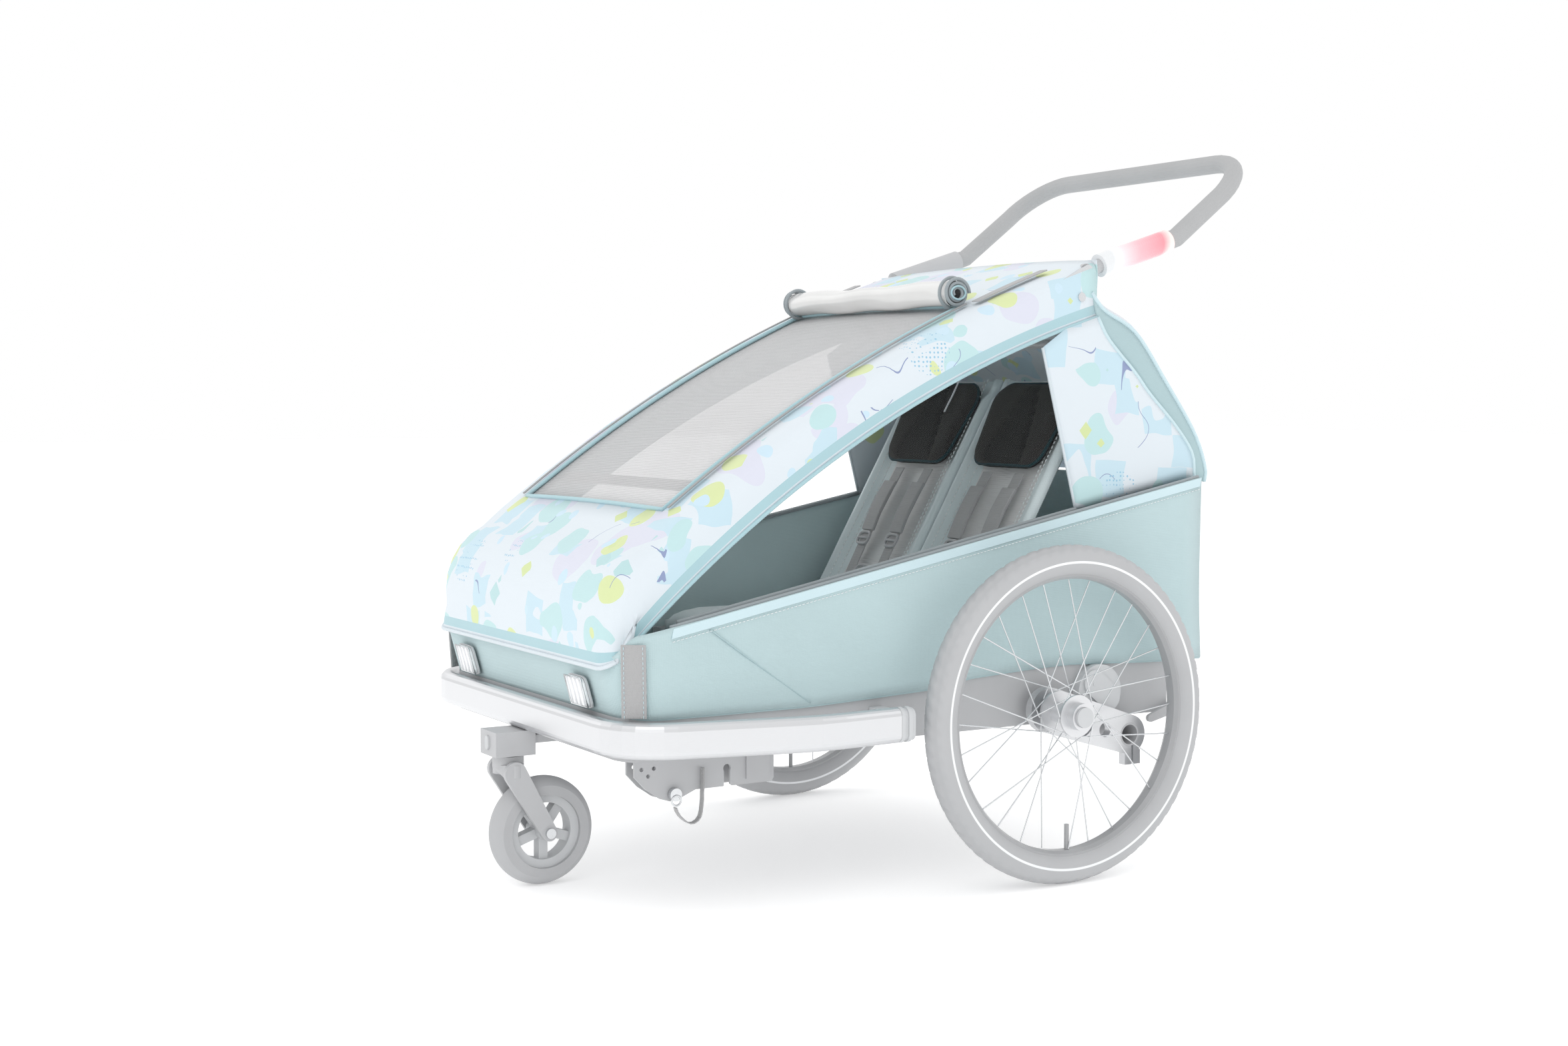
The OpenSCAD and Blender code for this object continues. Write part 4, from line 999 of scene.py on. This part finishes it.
def harness(s, name):
    """Two shoulder straps with pads and ladder buckles, and the buckle between the legs."""
    cx = s * (SEAT_GAP + SEAT_W / 2)
    for k, dx in enumerate((-0.042, 0.042)):
        line = [on_back(cx + dx, mix(0.02, 0.255, t), 0.0035 + 0.004 * math.sin(math.pi * t))
                for t in steps(0, 1, 16)]
        ribbon(f"harness_strap_{name}_{k}", line, ACROSS, 0.024, 0.0022, "webbing", fold=FOLD,
               replaces=["harnesses"])
        pad = [on_back(cx + dx, mix(0.13, 0.225, t), 0.009 + 0.003 * math.sin(math.pi * t))
               for t in steps(0, 1, 12)]
        ribbon(f"harness_pad_{name}_{k}", pad, ACROSS, 0.034, 0.006, "webbing", fold=FOLD)
        buckle(on_back(cx + dx, 0.115, 0.010), f"harness_buckle_{name}_{k}", 0.03, 0.022)
    buckle(on_back(cx, 0.045, 0.010), f"crotch_buckle_{name}", 0.045, 0.04)


def buckle(centre, name, w, h):
    """A ladder buckle: a rounded frame with a bar across."""
    outline = [centre + Vector((x, 0, 0)) + UP * y for x, y in ring((0, 0), w, h, 28, 4)]
    tube(name, outline, 0.0026, "plastic", fold=FOLD, closed=True)
    bar = [centre + Vector((x * w / 2, 0, 0)) for x in (-1, 0, 1)]
    tube(name + "_bar", bar, 0.0024, "plastic", fold=FOLD)


for side in SIDES:
    for build in (seat_back, seat_cushion, headrest, harness):
        build(*side)

# Straps and reflectors -------------------------------------------------------

def corner_straps():
    """A stitched strap round each front corner of the tub."""
    low, high = 0.286, 0.386
    a = math.radians(-35)
    centre = at(HALF - CORNER, FRONT + CORNER, 0)
    for s, name in SIDES:
        out = Vector((s * math.cos(a), math.sin(a), 0))
        w = Vector((-s * math.sin(a), math.cos(a), 0))
        line = [Vector((s * centre.x, centre.y, z)) + out * (CORNER + 0.003 + 0.08 * (z - low))
                for z in steps(low, high, 14)]
        ribbon(f"corner_strap_{name}", line, w, 0.034, 0.003, "webbing", replaces=["corner_straps"])
        for k, e in enumerate((-0.013, 0.013)):
            row = [p + w * e + out * 0.0018 for p in line]
            stitches(f"corner_stitch_{name}_{k}", row, out, "binding")


corner_straps()


def reflectors():
    """Clear lenses on a grey back, with four prism bars and a thin steel edge."""
    low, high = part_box("front_reflectors")
    wide, tall = 0.056, high[2] - low[2]
    cz = (low[2] + high[2]) / 2

    def lean(p):
        return Vector((p[0], p[1] - 0.28 * (p[2] - cz), p[2]))

    def block(name, cx, w, h, y0, y1, look, r, replaces=()):
        verts = [lean((x, y, z)) for y in (y0, y1) for x, z in ring((cx, cz), w, h, 32, 7)]
        obj = make(name, verts, skin(2, 32), look, flat=True)
        settle(obj, "BEVEL", width=r, segments=3, limit_method="ANGLE")
        place(obj, "base", replaces=replaces)

    for s, name in SIDES:
        cx = s * (high[0] - wide / 2)
        back = high[1] - 0.004
        block(f"reflector_back_{name}", cx, wide, tall, high[1], back, "plastic_light", 0.001)
        block(f"reflector_lens_{name}", cx, wide - 0.002, tall - 0.003, back, low[1] + 0.0016, "clear", 0.002,
              ["front_reflectors"])
        for k, x in enumerate(steps(-0.02, 0.02, 3)):
            bar = [lean((cx + x, low[1] + 0.0012, cz + e)) for e in (-0.019, 0, 0.019)]
            tube(f"reflector_rib_{name}_{k}", bar, 0.0016, "clear")
        edge = [lean((cx + x * 0.026, low[1] + 0.0016, cz + z * 0.020))
                for x, z in ((-1, -1), (1, -1), (1, 1), (-1, 1))]
        tube(f"reflector_edge_{name}", edge, 0.0014, "steel", closed=True)


reflectors()


def tyres():
    """Tyres with a round section, tread blocks on the crown and a light stripe on each side."""
    centre_r = WHEEL_R - TYRE_R
    around, section = 288, 36
    lip, shoulder, lane_width = 148, 52, 17.4
    stripe = (92, 101)
    for s, name in SIDES:
        c = Vector((s * WHEEL_X, AXLE_Y, AXLE_Z))
        verts, faces, looks = [], [], []
        for i in range(around):
            a = 2 * math.pi * i / around
            for k, degrees in enumerate(steps(-lip, lip, section - 1)):
                b = math.radians(degrees)
                lane = int((degrees + shoulder) // lane_width)
                groove = abs(degrees) < shoulder and ((i + 2 * (lane % 2) + lane) % 4 == 0 or k % 6 == 3)
                rr = TYRE_R - (0.0016 if groove else 0.0)
                radial = centre_r + rr * math.cos(b)
                verts.append(c + Vector((rr * math.sin(b), radial * math.cos(a), radial * math.sin(a))))
        for i in range(around):
            j = (i + 1) % around
            for k in range(section - 1):
                faces.append((i * section + k, i * section + k + 1, j * section + k + 1, j * section + k))
                mid = abs(mix(-lip, lip, (k + 0.5) / (section - 1)))
                looks.append(1 if stripe[0] < mid < stripe[1] else 0)
        obj = make(f"tyre_{name}", verts, faces, "tyre", "reflex", pick=lambda k: looks[k])
        place(obj, f"wheel_{name}", replaces=[f"{name}_tyre"])


tyres()

# CAD nodes that keep their shape ---------------------------------------------

paint("frame", "base_frame", "seat_frame", "suspension_tube", "front_hoop", "upper_legs", "lower_legs",
      "push_bar")
paint("plastic", "floor_pan", "caster_bracket", "caster_fork", "brake_lever", "hitch_bracket", "bar_sleeve")
paint("plastic_light", "bumper_sockets", "caster_button", "caster_rim", "left_hub_button",
      "right_hub_button")
paint("foam", "bar_foam")
paint("lamp", "bar_lamp")
paint("alloy", "bumper", "swing_arm_left", "swing_arm_right", "left_hub", "right_hub")
paint("steel", "left_spokes", "right_spokes", "base_bolts", "leg_bolts", "hinge_lugs", "caster_axle",
      "hitch_pin", "canopy_snaps")
paint("rim", "left_rim", "right_rim")
paint("tyre", "caster_tyre")
paint("rubber", "elastomer_left", "elastomer_right")


# Stage -----------------------------------------------------------------------

def stage():
    floor = make("floor", [(-30, -30, 0), (30, -30, 0), (30, 30, 0), (-30, 30, 0)], [(0, 1, 2, 3)])
    n = Nodes("floor_paint")
    n.set(Base_Color=n.blend(n.noise(3.0), (0.96, 0.96, 0.96, 1), (0.98, 0.98, 0.98, 1)), Roughness=0.9,
          Emission_Color=(1, 1, 1, 1), Emission_Strength=0.26)
    floor.data.materials.append(n.mat)
    world = bpy.data.worlds.new("studio")
    world.use_nodes = True
    background = world.node_tree.nodes["Background"]
    background.inputs["Color"].default_value = (1, 1, 1, 1)
    background.inputs["Strength"].default_value = 1.0
    bpy.context.scene.world = world
    bpy.context.scene.view_settings.view_transform = "Standard"
    target = Vector((0, 0, 0.5))
    for name, place_at, power in (("key", (2.2, -2.6, 3.4), 30), ("fill", (-2.8, -1.5, 2.6), 12),
                                  ("back", (0.5, 3.2, 3.0), 20)):
        light = bpy.data.lights.new(name, "AREA")
        light.size = 3.0
        light.energy = power
        obj = bpy.data.objects.new(name, light)
        bpy.context.scene.collection.objects.link(obj)
        obj.location = place_at
        obj.rotation_mode = "QUATERNION"
        obj.rotation_quaternion = (target - Vector(place_at)).to_track_quat("-Z", "Y")


stage()
